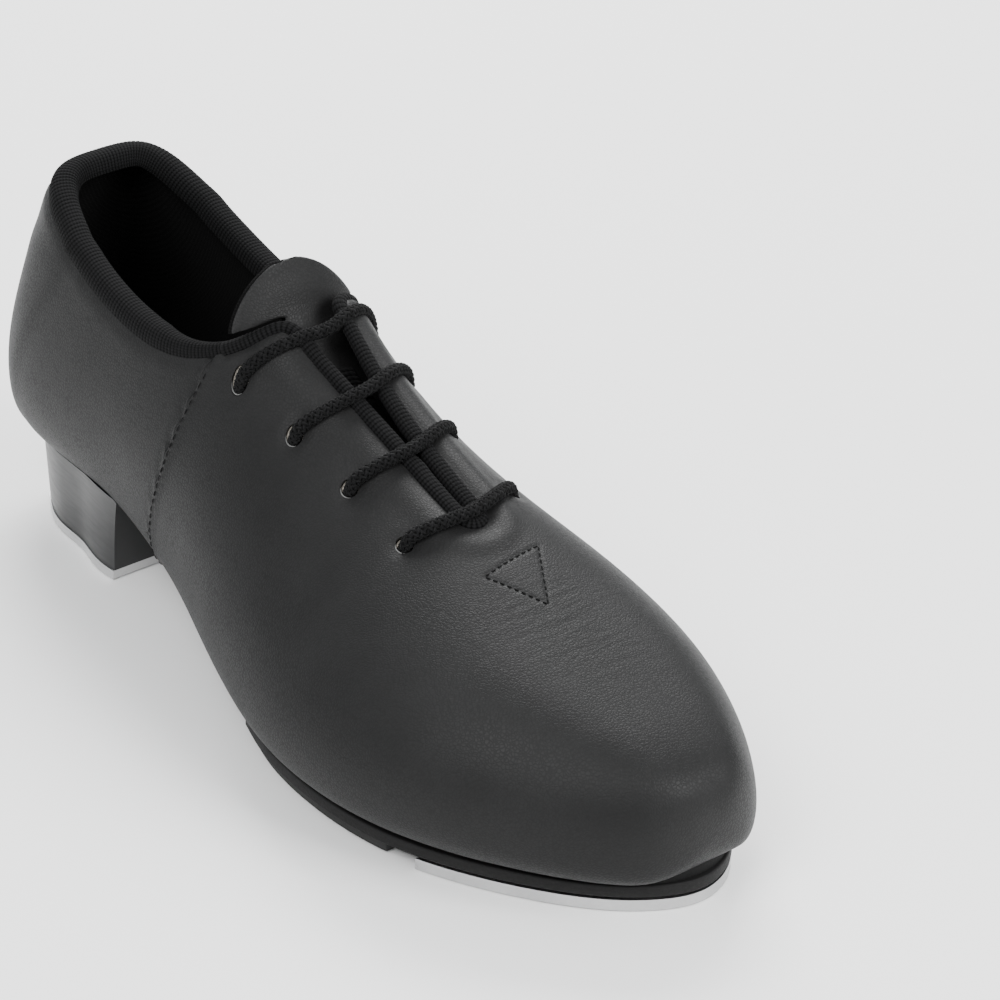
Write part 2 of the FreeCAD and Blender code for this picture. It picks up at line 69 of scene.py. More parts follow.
# Right tap shoe. Sizes below are in millimetres along the last: x from the heel's back to the toe,
# y towards the inner side, z up from the floor. place() puts such a point in the frame, in metres.
last = {
    "originX": 127.25, "originY": -8.14,
    "leather": 1.4, "liningLow": 2.4, "liningHigh": 5.4, "liningThick": 1.0, "liningBelow": 1.4,
    "padFrom": 0.35,                                 # share of the heel's height where its padding starts
    "lean": 8.5, "leanFrom": 42, "leanOver": 60, "leanAt": (0, 1, 1, 1, 1, 0.7, 0.35),
    "heelShape": [(0, 0), (0.55, 0), (0.88, 0), (1.04, 0.17), (0.99, 0.42), (0.72, 0.74), (0.60, 1), (0, 1)],
    "instepShape": [(0, 0), (0.55, 0), (0.95, 0), (1.11, 0.17), (0.99, 0.46), (0.58, 0.80), (0.17, 1), (0, 1)],
    "toeShape": [(0, 0), (0.55, 0), (0.97, 0), (1.12, 0.26), (1.00, 0.70), (0.64, 0.98), (0.25, 1), (0, 1)],
    # x, outer half, inner half, centre below, centre above, bottom, top, heel, instep and toe shape
    "stations": [
        (-1, 0, 0, 0, 0, 44, 44, 1, 0, 0),
        (-1, 9.5, 9.5, 0, 0, 31, 62, 1, 0, 0),
        (4.5, 21.5, 21, 0, 0, 23.2, 88, 1, 0, 0),
        (17, 29.5, 28.5, 0, 0, 22.2, 106, 1, 0, 0),
        (36, 31, 29.5, 0, 0, 22, 108, 1, 0, 0),
        (58, 30.5, 28, 0, 0, 21, 107, 1, 0, 0),
        (80, 32, 27, 0, 1, 15.5, 101, 0.8, 0.2, 0),
        (100, 34.8, 27, -1, 4, 12, 94.5, 0.4, 0.6, 0),
        (120, 40, 29, -1.5, 4, 9.5, 82, 0, 1, 0),
        (140, 45.4, 32, -2, 3, 7.7, 72, 0, 1, 0),
        (160, 50, 35.5, -2, 2.5, 6.6, 65, 0, 0.9, 0.1),
        (180, 50.5, 37.5, -2, 1, 6.2, 59, 0, 0.6, 0.4),
        (198, 47.5, 37, -2, -0.5, 6.2, 52.5, 0, 0.3, 0.7),
        (216, 41.5, 33, -1, -1, 6.6, 46.5, 0, 0, 1),
        (232, 33.5, 26.5, 0, 0, 7.5, 41.5, 0, 0, 1),
        (246.5, 23.5, 18.2, 0.5, 0.5, 8.2, 37, 0, 0, 1),
        (255.5, 14, 10.5, 1, 1, 10, 31, 0, 0, 1),
        (255.5, 0, 0, 1, 1, 20, 20, 0, 0, 1)],
}

# the lines that the layers are cut to
cut = {
    "collar": [(-25, 90), (-2, 93), (8, 93.5), (20, 90), (40, 81), (60, 74.5), (78, 72.3), (92, 74.8),
               (101, 79.2), (107, 84.5), (110, 95), (111, 125)],
    "seam": [(-10, 84), (5, 84), (26, 85.5), (42, 88.5), (62, 92.5), (80, 96), (125, 96)],   # z, x
    "throat": [(98, 0, 8.6), (112, -0.2, 7.2), (126, -0.6, 5.6), (145, -1.2, 4.3), (171, -2, 3.6)],
    "slits": [((105, -19), (107.6, 17.6)), ((125.2, -18), (124.6, 15.6)), ((145.8, -17.4), (143.6, 13.8)),
              ((167.6, -18.2), (165.2, 14.6))],
    "slitRadius": 2.0,
    "throatTip": (171.4, -2, 3.62),      # x, y, radius
    "collarEnd": 110.9, "throatFrom": 90, "topFrom": 40,
    "clear": -5.0,                       # what a test says far from its line
}
skyHeight = 160                          # rays to the top of the shoe start here


def place(x, y, z):
    return Vector(((x - last["originX"]) / 1000, (y - last["originY"]) / 1000, z / 1000))


def onLast(point):
    return point[0] * 1000 + last["originX"], point[1] * 1000 + last["originY"], point[2] * 1000


def share(f):
    return min(1.0, max(0.0, f))


def clearSelection():
    if bpy.context.object and bpy.context.object.mode != "OBJECT":
        bpy.ops.object.mode_set(mode="OBJECT")
    bpy.ops.object.select_all(action="DESELECT")


def pick(piece):
    clearSelection()
    piece.select_set(True)
    bpy.context.view_layer.objects.active = piece


# runs one mesh operator on the whole piece
def editWhole(piece, operator, **settings):
    pick(piece)
    bpy.ops.object.mode_set(mode="EDIT")
    bpy.ops.mesh.select_all(action="SELECT")
    operator(**settings)
    bpy.ops.object.mode_set(mode="OBJECT")


def applyModifier(piece, kind, **settings):
    pick(piece)
    modifier = piece.modifiers.new(kind.lower(), kind)
    for name, value in settings.items():
        setattr(modifier, name, value)
    bpy.ops.object.modifier_apply(modifier=modifier.name)


def newPiece(name, points, faces, uvs=None):
    mesh = bpy.data.meshes.new(name)
    mesh.from_pydata(points, [], faces)
    if uvs:
        layer = mesh.uv_layers.new(name="flat")
        for loop in mesh.loops:
            layer.data[loop.index].uv = uvs[loop.index]
    piece = bpy.data.objects.new(name, mesh)
    bpy.context.collection.objects.link(piece)
    return piece


# faces between rings of points, one ring after another
def ringFaces(rings, sides, base=0):
    faces = []
    for i in range(rings - 1):
        here, there = base + i * sides, base + (i + 1) * sides
        for k in range(sides):
            n = (k + 1) % sides
            faces.append((here + k, here + n, there + n, there + k))
    return faces


# the same for open rows
def gridFaces(rows, wide):
    return [(i * wide + k, i * wide + k + 1, (i + 1) * wide + k + 1, (i + 1) * wide + k)
            for i in range(rows - 1) for k in range(wide - 1)]


def faceOut(piece, smooth=None):
    editWhole(piece, bpy.ops.mesh.normals_make_consistent, inside=False)
    if smooth:
        bpy.ops.object.shade_smooth_by_angle(angle=math.radians(smooth))
    else:
        bpy.ops.object.shade_smooth()


def joinDoubles(piece, distance=0.00001):
    editWhole(piece, bpy.ops.mesh.remove_doubles, threshold=distance)


# a natural cubic through the points, by chord length
def curveThrough(points, steps=16):
    points = [Vector(p) for p in points]
    at = [0.0]
    for a, b in zip(points, points[1:]):
        at.append(at[-1] + (b - a).length)
    count, size = len(points), len(points[0])
    bends = [[0.0] * size for _ in points]
    for axis in range(size):
        low, high = [0.0] * count, [0.0] * count
        for i in range(1, count - 1):
            before, after = at[i] - at[i - 1], at[i + 1] - at[i]
            rise, fall = points[i + 1][axis] - points[i][axis], points[i][axis] - points[i - 1][axis]
            right = 6 * (rise / after - fall / before)
            weight = 2 * (before + after) - before * low[i - 1]
            low[i] = after / weight
            high[i] = (right - before * high[i - 1]) / weight
        for i in range(count - 2, 0, -1):
            bends[i][axis] = high[i] - low[i] * bends[i + 1][axis]
    line = []
    for i in range(count - 1):
        span = at[i + 1] - at[i]
        for k in range(steps if i < count - 2 else steps + 1):
            f = k / steps
            a, b = points[i], points[i + 1]
            near, far = (1 - f) ** 3 - (1 - f), f ** 3 - f
            line.append(tuple((1 - f) * a[n] + f * b[n] + span * span / 6 *
                              (near * bends[i][n] + far * bends[i + 1][n]) for n in range(size)))
    return line


# the other values of a line where its first one is at the given place
def readLine(line, value):
    keys, spots = line
    i = min(max(bisect_left(keys, value), 1), len(keys) - 1)
    a, b = spots[i - 1], spots[i]
    f = (value - a[0]) / (b[0] - a[0])
    return [a[n] + (b[n] - a[n]) * f for n in range(1, len(a))]


def lineOf(points):
    spots = curveThrough(points)
    return [spot[0] for spot in spots], spots


collarLine, seamLine, throatLine = lineOf(cut["collar"]), lineOf(cut["seam"]), lineOf(cut["throat"])


def overCollar(x, y, z, lift=0.0):
    return z - lift - readLine(collarLine, x)[0] if x < cut["collarEnd"] else cut["clear"]


def beforeSeam(x, y, z, shift=0.0):
    return x - shift - readLine(seamLine, z)[0]


def inThroat(x, y, z):
    if z < cut["topFrom"] or x < cut["throatFrom"]:
        return cut["clear"]
    tipX, tipY, radius = cut["throatTip"]
    if x < tipX:
        middle, half = readLine(throatLine, min(x, cut["throat"][-1][0]))
        return half - abs(y - middle)
    return radius - math.hypot(x - tipX, y - tipY)


def inSlit(x, y, z):
    if z < cut["topFrom"]:
        return cut["clear"]
    return max(cut["slitRadius"] - math.hypot((x - a) * 0.8, y - b) for pair in cut["slits"] for a, b in pair)


# the last's smooth surface, drawn in by low (and by high at the padded heel)
def lastNet(low, high):
    rows = []
    stations = last["stations"]
    for number, (x, outer, inner, base, crown, bottom, top, heel, instep, toe) in enumerate(stations):
        shapes = zip(last["heelShape"], last["instepShape"], last["toeShape"])
        shape = [tuple(heel * h[i] + instep * s[i] + toe * t[i] for i in (0, 1)) for h, s, t in shapes]
        lean = last["lean"] * last["leanAt"][number] if number < len(last["leanAt"]) else 0
        closing = outer == 0
        x += low if number < 2 else -low if number > len(stations) - 3 else 0
        sides = []
        for side, half in ((-1, outer), (1, inner)):
            points = []
            for across, up in shape:
                padded = share((up - last["padFrom"]) / last["padFrom"])
                inset = low + (high - low) * heel * padded
                reach = 0 if closing else max(half - inset, 0.3)
                lower, upper = (bottom, top) if closing else (bottom + low, top - low)
                z = lower + up * (upper - lower)
                forward = lean * max(0.0, (z - last["leanFrom"]) / last["leanOver"]) ** 1.5
                points.append(place(x + forward,
                                    base + (crown - base) * up + side * reach * across, z))
            sides.append(points)
        rows.append(sides[0] + sides[1][-2:0:-1])
    return rows


def lastSheet(name, low, high=None, along=12, around=11):
    clearSelection()
    surface = bpy.data.curves.new(name, "SURFACE")
    surface.dimensions = "3D"
    piece = bpy.data.objects.new(name, surface)
    bpy.context.collection.objects.link(piece)
    for row in lastNet(low, low if high is None else high):
        spline = surface.splines.new("NURBS")
        spline.points.add(len(row) - 1)
        for point, spot in zip(spline.points, row):
            point.co = (*spot, 1)
            point.select = True
    pick(piece)
    bpy.ops.object.mode_set(mode="EDIT")
    bpy.ops.curve.select_all(action="SELECT")
    bpy.ops.curve.make_segment()
    bpy.ops.object.mode_set(mode="OBJECT")
    spline = surface.splines[0]
    spline.order_u = spline.order_v = 4
    spline.use_endpoint_u, spline.use_cyclic_v = True, True
    surface.resolution_u, surface.resolution_v = along, around
    spline.resolution_u, spline.resolution_v = along, around
    bpy.ops.object.convert(target="MESH")
    piece = bpy.context.object
    joinDoubles(piece, 0.00002)
    faceOut(piece)
    return piece


# more faces where a small shape follows
def refine(piece, near, cuts=1):
    shell = bmesh.new()
    shell.from_mesh(piece.data)
    edges = set()
    for face in shell.faces:
        if near(*onLast(face.calc_center_median())):
            edges.update(face.edges)
    bmesh.ops.subdivide_edges(shell, edges=list(edges), cuts=cuts, use_grid_fill=True)
    shell.to_mesh(piece.data)
    shell.free()


# cuts away all that outside() calls more than 0, along its zero line
def trim(piece, outside):
    shell = bmesh.new()
    shell.from_mesh(piece.data)
    worth = {v: outside(*onLast(v.co)) for v in shell.verts}
    fresh = set()
    for edge in list(shell.edges):
        a, b = edge.verts
        if (worth[a] > 0) == (worth[b] > 0):
            continue
        low, high = 0.0, 1.0
        start, end = a.co.copy(), b.co.copy()
        for _ in range(14):
            middle = (low + high) / 2
            if (outside(*onLast(start.lerp(end, middle))) > 0) == (worth[a] > 0):
                low = middle
            else:
                high = middle
        f = (low + high) / 2
        near = a if f < 0.12 else b if f > 0.88 else None
        if near and near not in fresh:
            near.co = start.lerp(end, f)
            fresh.add(near)
        elif not near:
            _, corner = bmesh.utils.edge_split(edge, a, f)
            corner.co = start.lerp(end, f)
            fresh.add(corner)
    ring = [v for v in fresh if v.is_valid]
    bmesh.ops.connect_verts(shell, verts=ring)
    doomed = [f for f in shell.faces if max(0 if v in fresh else worth.get(v, 0) for v in f.verts) > 0]
    bmesh.ops.delete(shell, geom=doomed, context="FACES")
    loose = [v for v in shell.verts if not v.link_faces]
    bmesh.ops.delete(shell, geom=loose, context="VERTS")
    shell.to_mesh(piece.data)
    shell.free()


def copyOf(piece, name):
    twin = piece.copy()
    twin.data = piece.data.copy()
    twin.name = twin.data.name = name
    bpy.context.collection.objects.link(twin)
    return twin


# moves each point along its normal by what rise() says, in millimetres
def swell(piece, rise):
    normals = [v.normal.copy() for v in piece.data.vertices]
    for v, normal in zip(piece.data.vertices, normals):
        amount = rise(*onLast(v.co))
        if amount:
            v.co = v.co + normal * (amount / 1000)
    piece.data.update()


def thicken(piece, thickness):
    applyModifier(piece, "SOLIDIFY", thickness=thickness / 1000, offset=-1, use_even_offset=False,
                  use_rim=True)


def softenEdges(piece, width, segments, angle):
    applyModifier(piece, "BEVEL", width=width / 1000, segments=segments, limit_method="ANGLE",
                  angle_limit=math.radians(angle))


def fade(distance, reach):
    f = share(1 - distance / reach)
    return f * f * (3 - 2 * f)


print("last: surfaces")

upper = {
    # each rise or sink in the leather, and over how far it fades
    "seamRise": 0.5, "seamRiseOver": 3.5, "seamSink": 0.35, "seamSinkOver": 2.0,
    "edgeRoll": 0.7, "edgeOver": 2.6, "throatRoll": 0.8, "throatOver": 2.4,
    "facingRise": 0.5, "facingAt": 5.0, "facingOver": 4.0, "slitSink": 0.5, "slitOver": 5.0,
    "counterLine": [(20, 10), (44, 17), (62, 25), (76, 33), (90, 38)],   # z, x of the stiffener's front
    "counterRise": 0.55, "counterOver": 7.0, "counterTop": 74, "counterTopOver": 8.0,
}
counterLine = lineOf(upper["counterLine"])


def throatGap(x, y, z):
    return -inThroat(x, y, z) if z > cut["topFrom"] and x > 96 else 99.0


def slitGap(x, y):
    return min(math.hypot(x - a, y - b) for pair in cut["slits"] for a, b in pair)


def leatherShape(x, y, z):
    rise = 0.0
    seamGap = beforeSeam(x, y, z)
    if seamGap > 0:
        rise += upper["seamRise"] * fade(seamGap, upper["seamRiseOver"])
    else:
        rise -= upper["seamSink"] * fade(-seamGap, upper["seamSinkOver"])
    if x < 112:
        rise -= upper["edgeRoll"] * fade(max(0.0, -overCollar(x, y, z)), upper["edgeOver"])
    gap = throatGap(x, y, z)
    rise -= upper["edgeRoll"] * upper["throatRoll"] * fade(max(0.0, gap), upper["throatOver"])
    rise += upper["facingRise"] * fade(abs(gap - upper["facingAt"]), upper["facingOver"])
    if z > cut["topFrom"]:
        rise -= upper["slitSink"] * fade(slitGap(x, y), upper["slitOver"])
    if 20 < z < 90 and x < 60:
        front = fade(max(0.0, x - readLine(counterLine, z)[0]), upper["counterOver"])
        above = fade(max(0.0, z - upper["counterTop"]), upper["counterTopOver"])
        rise += upper["counterRise"] * front * above
    return rise


outerSheet = lastSheet("outerSheet", 0)
outerTree = BVHTree.FromObject(outerSheet, bpy.context.evaluated_depsgraph_get())


# where a ray from above meets a surface, and its normal there
def skinAt(x, y, tree=outerTree):
    hit, normal, _, _ = tree.ray_cast(place(x, y, skyHeight), Vector((0, 0, -1)))
    return hit, normal


# height of the leather's face over a point
def topAt(x, y):
    return skinAt(x, y)[0].z * 1000


triangle = {
    "corners": [(187, -10.5), (185, 6.5), (200, -2.6)], "stitches": 9,
    "pull": 0.14, "span": (180, 205),       # how far the stitches draw the leather in, and the x range it stays in
}
triangleSides = list(zip(triangle["corners"], triangle["corners"][1:] + triangle["corners"][:1]))


def nearTriangle(x, y, z):
    if z < cut["topFrom"]:
        return 99.0
    gaps = []
    for (x0, y0), (x1, y1) in triangleSides:
        along = Vector((x1 - x0, y1 - y0))
        f = share(Vector((x - x0, y - y0)).dot(along) / along.length_squared)
        gaps.append(math.hypot(x - x0 - (x1 - x0) * f, y - y0 - (y1 - y0) * f))
    return min(gaps)


def nearDetail(x, y, z):
    return z > cut["topFrom"] and (slitGap(x, y) < 5.5 or nearTriangle(x, y, z) < 1.6)


# the leather's relief, drawn in a little along the triangle's stitches
def stitchedShape(x, y, z):
    low, high = triangle["span"]
    pull = triangle["pull"] * fade(nearTriangle(x, y, z), 1.0) if low < x < high else 0
    return leatherShape(x, y, z) - pull


outerRaw = copyOf(outerSheet, "outerRaw")
refine(outerRaw, nearDetail, 2)
trim(outerRaw, overCollar)
trim(outerRaw, inThroat)
swell(outerRaw, stitchedShape)

quarter = copyOf(outerRaw, "quarterLeather")
trim(quarter, beforeSeam)
vamp = copyOf(outerRaw, "vampLeather")
trim(vamp, lambda x, y, z: -beforeSeam(x, y, z, 0.15))
trim(vamp, inSlit)


# the points round the longest open edge of a sheet, with the leather's normal at each
def rimOf(piece):
    shell = bmesh.new()
    shell.from_mesh(piece.data)
    left = {e for e in shell.edges if e.is_boundary}
    loops = []
    while left:
        edge = left.pop()
        start, v = edge.verts
        loop = [start, v]
        while v != start:
            step = next((e for e in v.link_edges if e in left), None)
            if not step:
                break
            left.discard(step)
            v = step.other_vert(v)
            loop.append(v)
        loops.append(loop)
    loop = max(loops, key=len)
    spots = [(v.co.copy(), v.normal.copy()) for v in loop[:-1]]
    shell.free()
    return spots


# even steps along a row of points and normals
def evenly(spots, step):
    line, since = [spots[0]], 0.0
    for (a, na), (b, nb) in zip(spots, spots[1:]):
        run, at = (b - a).length, 0.0
        while run and since + run - at >= step:
            at += step - since
            since = 0.0
            line.append((a.lerp(b, at / run), na.lerp(nb, at / run).normalized()))
        since += run - at
    return line


def steady(spots, passes):
    for _ in range(passes):
        middle = [((a[0] + b[0] * 2 + c[0]) / 4, (a[1] + b[1] * 2 + c[1]).normalized())
                  for a, b, c in zip(spots, spots[1:], spots[2:])]
        spots = [spots[0]] + middle + [spots[-1]]
    return spots


# runs an outline along the points; outline(i, along) gives (out, inward) pairs in metres
def runAlong(name, spots, outline, inwardHint):
    points, uvs, along = [], [], 0.0
    for i, (spot, normal) in enumerate(spots):
        ahead = spots[min(i + 1, len(spots) - 1)][0] - spots[max(i - 1, 0)][0]
        if i:
            along += (spot - spots[i - 1][0]).length
        inward = normal.cross(ahead).normalized()
        if inward.dot(inwardHint(spot)) < 0:
            inward = -inward
        points += [spot + normal * out + inward * inner for out, inner in outline(i, along)]
        uvs.append(along)
    ring, girth, loops = outline(len(spots) // 2, uvs[len(spots) // 2]), [0.0], []
    for a, b in zip(ring, ring[1:] + ring[:1]):
        girth.append(girth[-1] + math.dist(a, b))
    count = len(ring)
    faces = ringFaces(len(spots), count)
    for a, b in zip(uvs, uvs[1:]):
        for c, d in zip(girth, girth[1:]):
            loops += [(a, c), (a, d), (b, d), (b, c)]
    for end in (0, len(spots) - 1):
        faces.append(tuple(end * count + k for k in range(count)))
        loops += [(uvs[end], girth[k]) for k in range(count)]
    piece = newPiece(name, points, faces, loops)
    faceOut(piece)
    return piece


binding = {
    "ribEvery": 1.15, "ribDepth": 0.12,
    "rollHeight": 4.3, "rollProud": 0.45, "rollSides": 18,
    "cordHalfWidth": 1.8, "cordHalfHeight": 1.7, "cordSides": 12, "cordInset": 1.05, "cordSunk": 0.35,
    "meetAt": 99.0, "facingEnd": 117.0, "cordWiden": 0.35, "widenFrom": 118.0, "widenOver": 24.0,
    "narrowFrom": 76, "narrowOver": 22, "narrower": 0.45, "flatter": 0.42, "rollSunk": 0.5,
    # metres between points, and how often each line is smoothed
    "rimStep": 0.0004, "collarPasses": 90, "throatPasses": 36, "cornerPasses": 70, "levelPasses": 260,
}



def smoothRim(spots, passes):
    return evenly(steady(evenly(spots, binding["rimStep"]), passes), binding["rimStep"])


rim = rimOf(outerRaw)
turn = next(i for i, (spot, normal) in enumerate(rim) if onLast(spot)[0] > 150 and onLast(spot)[1] < 0)
rim = rim[turn:] + rim[:turn]
onCollar = [i for i, (spot, normal) in enumerate(rim) if onLast(spot)[0] < binding["meetAt"]]
collarRim = smoothRim(rim[onCollar[0] - 1:onCollar[-1] + 2], binding["collarPasses"])
throatRim = smoothRim(rim[onCollar[-1] - 1:] + rim[:onCollar[0] + 2], binding["throatPasses"])


# level normals that turn slowly, so the wide roll never folds over itself
def levelNormals(spots, passes):
    normals = [Vector((n.x, n.y, 0)).normalized() for _, n in spots]
    for _ in range(passes):
        middle = [(a + b * 2 + c).normalized() for a, b, c in zip(normals, normals[1:], normals[2:])]
        normals = [normals[0]] + middle + [normals[-1]]
    return [(spot, normal) for (spot, _), normal in zip(spots, normals)]


collarRim = levelNormals(collarRim, binding["levelPasses"])
# the facing corners are rounder than the narrow end of the throat
facing = [i for i, (spot, normal) in enumerate(throatRim) if onLast(spot)[0] > binding["facingEnd"]]
throatEnds = [steady(part, binding["cornerPasses"])
              for part in (throatRim[:facing[0]], throatRim[facing[-1]:])]
throatRim = evenly(throatEnds[0] + throatRim[facing[0]:facing[-1]] + throatEnds[1], binding["rimStep"])
print("rims", len(collarRim), len(throatRim))


def wallAt(x):
    return 3.5 + 3.0 * share((112 - x) / 42)


def ribAt(along):
    f = (along * 1000 / binding["ribEvery"]) % 1
    return binding["ribDepth"] * (abs(math.sin(math.pi * f)) ** 0.7 - 0.6)


def rollOutline(i, along):
    x = onLast(collarRim[i][0])[0]
    narrow = share((x - binding["narrowFrom"]) / binding["narrowOver"])
    wall, width, sunk = wallAt(x), 1 - binding["narrower"] * narrow, binding["rollSunk"]
    wide = (wall / 2 + binding["rollProud"]) * width
    tall = binding["rollHeight"] * (1 - binding["flatter"] * narrow)
    centre = -wall / 2 * width
    rib, arc, ring = ribAt(along), binding["rollSides"] - 5, []
    for k in range(binding["rollSides"]):
        if k > arc:
            ring.append(((centre - wide * (1 - 2 * (k - arc) / 5)) / 1000, -0.0009))
            continue
        c, s = math.cos(math.pi * (k / arc)), math.sin(math.pi * (k / arc))
        out = centre + (wide + rib) * math.copysign(abs(c) ** 0.8, c)
        ring.append((out / 1000, (-sunk + (tall + sunk + rib) * s ** 0.8) / 1000))
    return ring


def cordOutline(i, along):
    rib = ribAt(along) * 1.3
    more = binding["cordWiden"] * share((onLast(throatRim[i][0])[0] - binding["widenFrom"]) / binding["widenOver"])
    ring = []
    for k in range(binding["cordSides"]):
        turn = 2 * math.pi * k / binding["cordSides"]
        out = -binding["cordSunk"] + (binding["cordHalfHeight"] + rib) * math.cos(turn)
        inner = binding["cordInset"] + more + (binding["cordHalfWidth"] + more + rib) * math.sin(turn)
        ring.append((out / 1000, inner / 1000))
    return ring


# towards the throat's middle line, and straight up at its ends
def throatInward(spot):
    x, y, z = onLast(spot)
    aim = (max(106, min(171, x)), -0.8, z) if x > 108 else (x, y, 200)
    return place(*aim) - spot


collarBinding = runAlong("collarBinding", collarRim, rollOutline, lambda spot: Vector((0, 0, 1)))
throatBinding = runAlong("throatBinding", throatRim, cordOutline, throatInward)
print("bindings done")

for piece in (vamp, quarter):
    thicken(piece, last["leather"])
    faceOut(piece, 42)

liningSheet = lastSheet("liningSheet", last["liningLow"], last["liningHigh"], 9, 8)
trim(liningSheet, lambda x, y, z: overCollar(x, y, z, -last["liningBelow"]))
trim(liningSheet, inThroat)
quarterLining = copyOf(liningSheet, "quarterLining")
trim(quarterLining, beforeSeam)
vampLining = copyOf(liningSheet, "vampLining")
trim(vampLining, lambda x, y, z: -beforeSeam(x, y, z, 0.3))
trim(vampLining, inSlit)
for piece in (vampLining, quarterLining):
    thicken(piece, last["liningThick"])
    faceOut(piece, 42)
for piece in (outerSheet, outerRaw, liningSheet):
    bpy.data.objects.remove(piece)
print("upper and lining done")


# tongue: a bent leather sheet with its lining, running up under the laces
tongue = {
    "path": [(197, 46.6), (186, 50.3), (172, 54), (156, 57.8), (140, 62.5), (126, 68.4), (116, 74.6),
             (110, 79.4), (106, 83.6), (103.4, 88), (101.9, 91.4), (100.5, 94.4), (99.4, 97.2)],
    "half": 18.6, "drop": 0.030, "crown": 2.4, "roundFrom": 0.80, "leather": 1.5, "lining": 1.0, "across": 36,
}


def tongueSheet(name, under, innerTree):
    way = curveThrough(tongue["path"], 9)
    rows, count = [], tongue["across"]
    for i, (x, z) in enumerate(way):
        f = i / (len(way) - 1)
        far = max(0.0, (f - tongue["roundFrom"]) / (1 - tongue["roundFrom"]))
        half = tongue["half"] * max(0.02, 1 - far ** 2.6) ** 0.5
        reach = []
        for side in (-1, 1):
            y = 0.0
            while y < half:
                spot = place(x, side * y - 0.8, z - tongue["drop"] * y * y)
                near, normal, _, _ = innerTree.find_nearest(spot)
                free = x < 112 and z - tongue["drop"] * y * y > readLine(collarLine, x)[0] + 4
                if not free and (spot - near).dot(normal) >= -0.0006:
                    break
                y += 0.4
            reach.append(min(y, half))
        row = []
        for k in range(count + 1):
            q = 2 * k / count - 1
            y = q * reach[0] if q < 0 else q * reach[1]
            ahead, behind = way[min(i + 1, len(way) - 1)], way[max(i - 1, 0)]
            slope = Vector((ahead[0] - behind[0], ahead[1] - behind[1])).normalized()
            crown = tongue["crown"] * fade(abs(x - 142), 36) ** 0.5 * math.exp(-(y / 8.5) ** 2)
            lowered = under - crown + 0.35 * math.exp(-((abs(q) - 1) / 0.06) ** 2)
            row.append(place(x - slope[1] * lowered - 0.9 * far * q * q, y - 0.8,
                             z - tongue["drop"] * y * y + slope[0] * lowered))
        rows.append(row)
    faces = gridFaces(len(rows), count + 1)
    piece = newPiece(name, [p for row in rows for p in row], faces)
    editWhole(piece, bpy.ops.mesh.vertices_smooth, factor=0.5, repeat=3)
    if piece.data.polygons[len(faces) // 2].normal.z < 0:
        piece.data.flip_normals()
    return piece


liningIn = [last[key] + last["liningThick"] for key in ("liningLow", "liningHigh")]
innerSheet = lastSheet("innerSheet", *liningIn, 8, 8)
innerTree = BVHTree.FromObject(innerSheet, bpy.context.evaluated_depsgraph_get())
tongueLeather = tongueSheet("tongueLeather", 0.0, innerTree)
tongueTree = BVHTree.FromObject(tongueLeather, bpy.context.evaluated_depsgraph_get())
tongueLining = tongueSheet("tongueLining", 1.55, innerTree)
bpy.data.objects.remove(innerSheet)
for piece, key in ((tongueLeather, "leather"), (tongueLining, "lining")):
    thicken(piece, tongue[key])
    softenEdges(piece, 0.35, 2, 50)
    faceOut(piece, 50)

# knitted keeper across the tongue
keeper = {
    "front": 125.5, "back": 117.0, "half": 5.6, "rise": 0.9, "thick": 1.1,
    "rows": 28, "columns": 24, "step": 0.0003,
}
rows, columns, step = keeper["rows"], keeper["columns"], keeper["step"]
points, loops = [], []
for i in range(rows + 1):
    for k in range(columns + 1):
        x = keeper["front"] + (keeper["back"] - keeper["front"]) * i / rows
        y = -0.8 + keeper["half"] * (2 * k / columns - 1)
        hit, normal = skinAt(x, y, tongueTree)
        edge = max(abs(2 * i / rows - 1), abs(2 * k / columns - 1))
        rib = 0.16 * math.sin(i * 2 * math.pi / 4)
        points.append(hit + normal * (keeper["rise"] * (1 - edge ** 6) + rib + 0.25) / 1000)
for i in range(rows):
    for k in range(columns):
        here, there, low, high = i * step, (i + 1) * step, k * step, (k + 1) * step
        loops += [(here, low), (here, high), (there, high), (there, low)]
laceKeeper = newPiece("laceKeeper", points, gridFaces(rows + 1, columns + 1), loops)
if laceKeeper.data.polygons[rows * columns // 2].normal.z < 0:
    laceKeeper.data.flip_normals()
thicken(laceKeeper, keeper["thick"])
faceOut(laceKeeper)
print("tongue done")

# lace: one braided cord through the eight slits, both ends tucked inside
lace = {
    "radius": 1.6, "bow": (8.0, 6.8, 5.4, 5.6), "dip": (2.8, 0.9, 0.6, 0.3),
    "strands": 6, "pitch": 9.5, "weaveDepth": 0.2, "strandWide": 0.62, "strandThick": 0.34, "step": 0.42,
    # share of the way across, height over the leather
    "bar": ((0, 0.9), (0.12, 2.0), (0.34, 2.0), (0.52, 1.7), (0.70, 1.8), (0.88, 1.6), (1, 0.7)),
}


def barPoints(number):
    (outer, inner), bow, dip = cut["slits"][number], lace["bow"][number], lace["dip"][number]
    points = []
    for f, lift in lace["bar"]:
        x = outer[0] + (inner[0] - outer[0]) * f + bow * 4 * f * (1 - f)
        y = outer[1] + (inner[1] - outer[1]) * f
        points.append((x, y, topAt(x, y) + lift - dip * fade(abs(f - 0.52), 0.3)))
    return points


def below(x, y, depth=7.2):
    return x, y, topAt(x, y) - depth


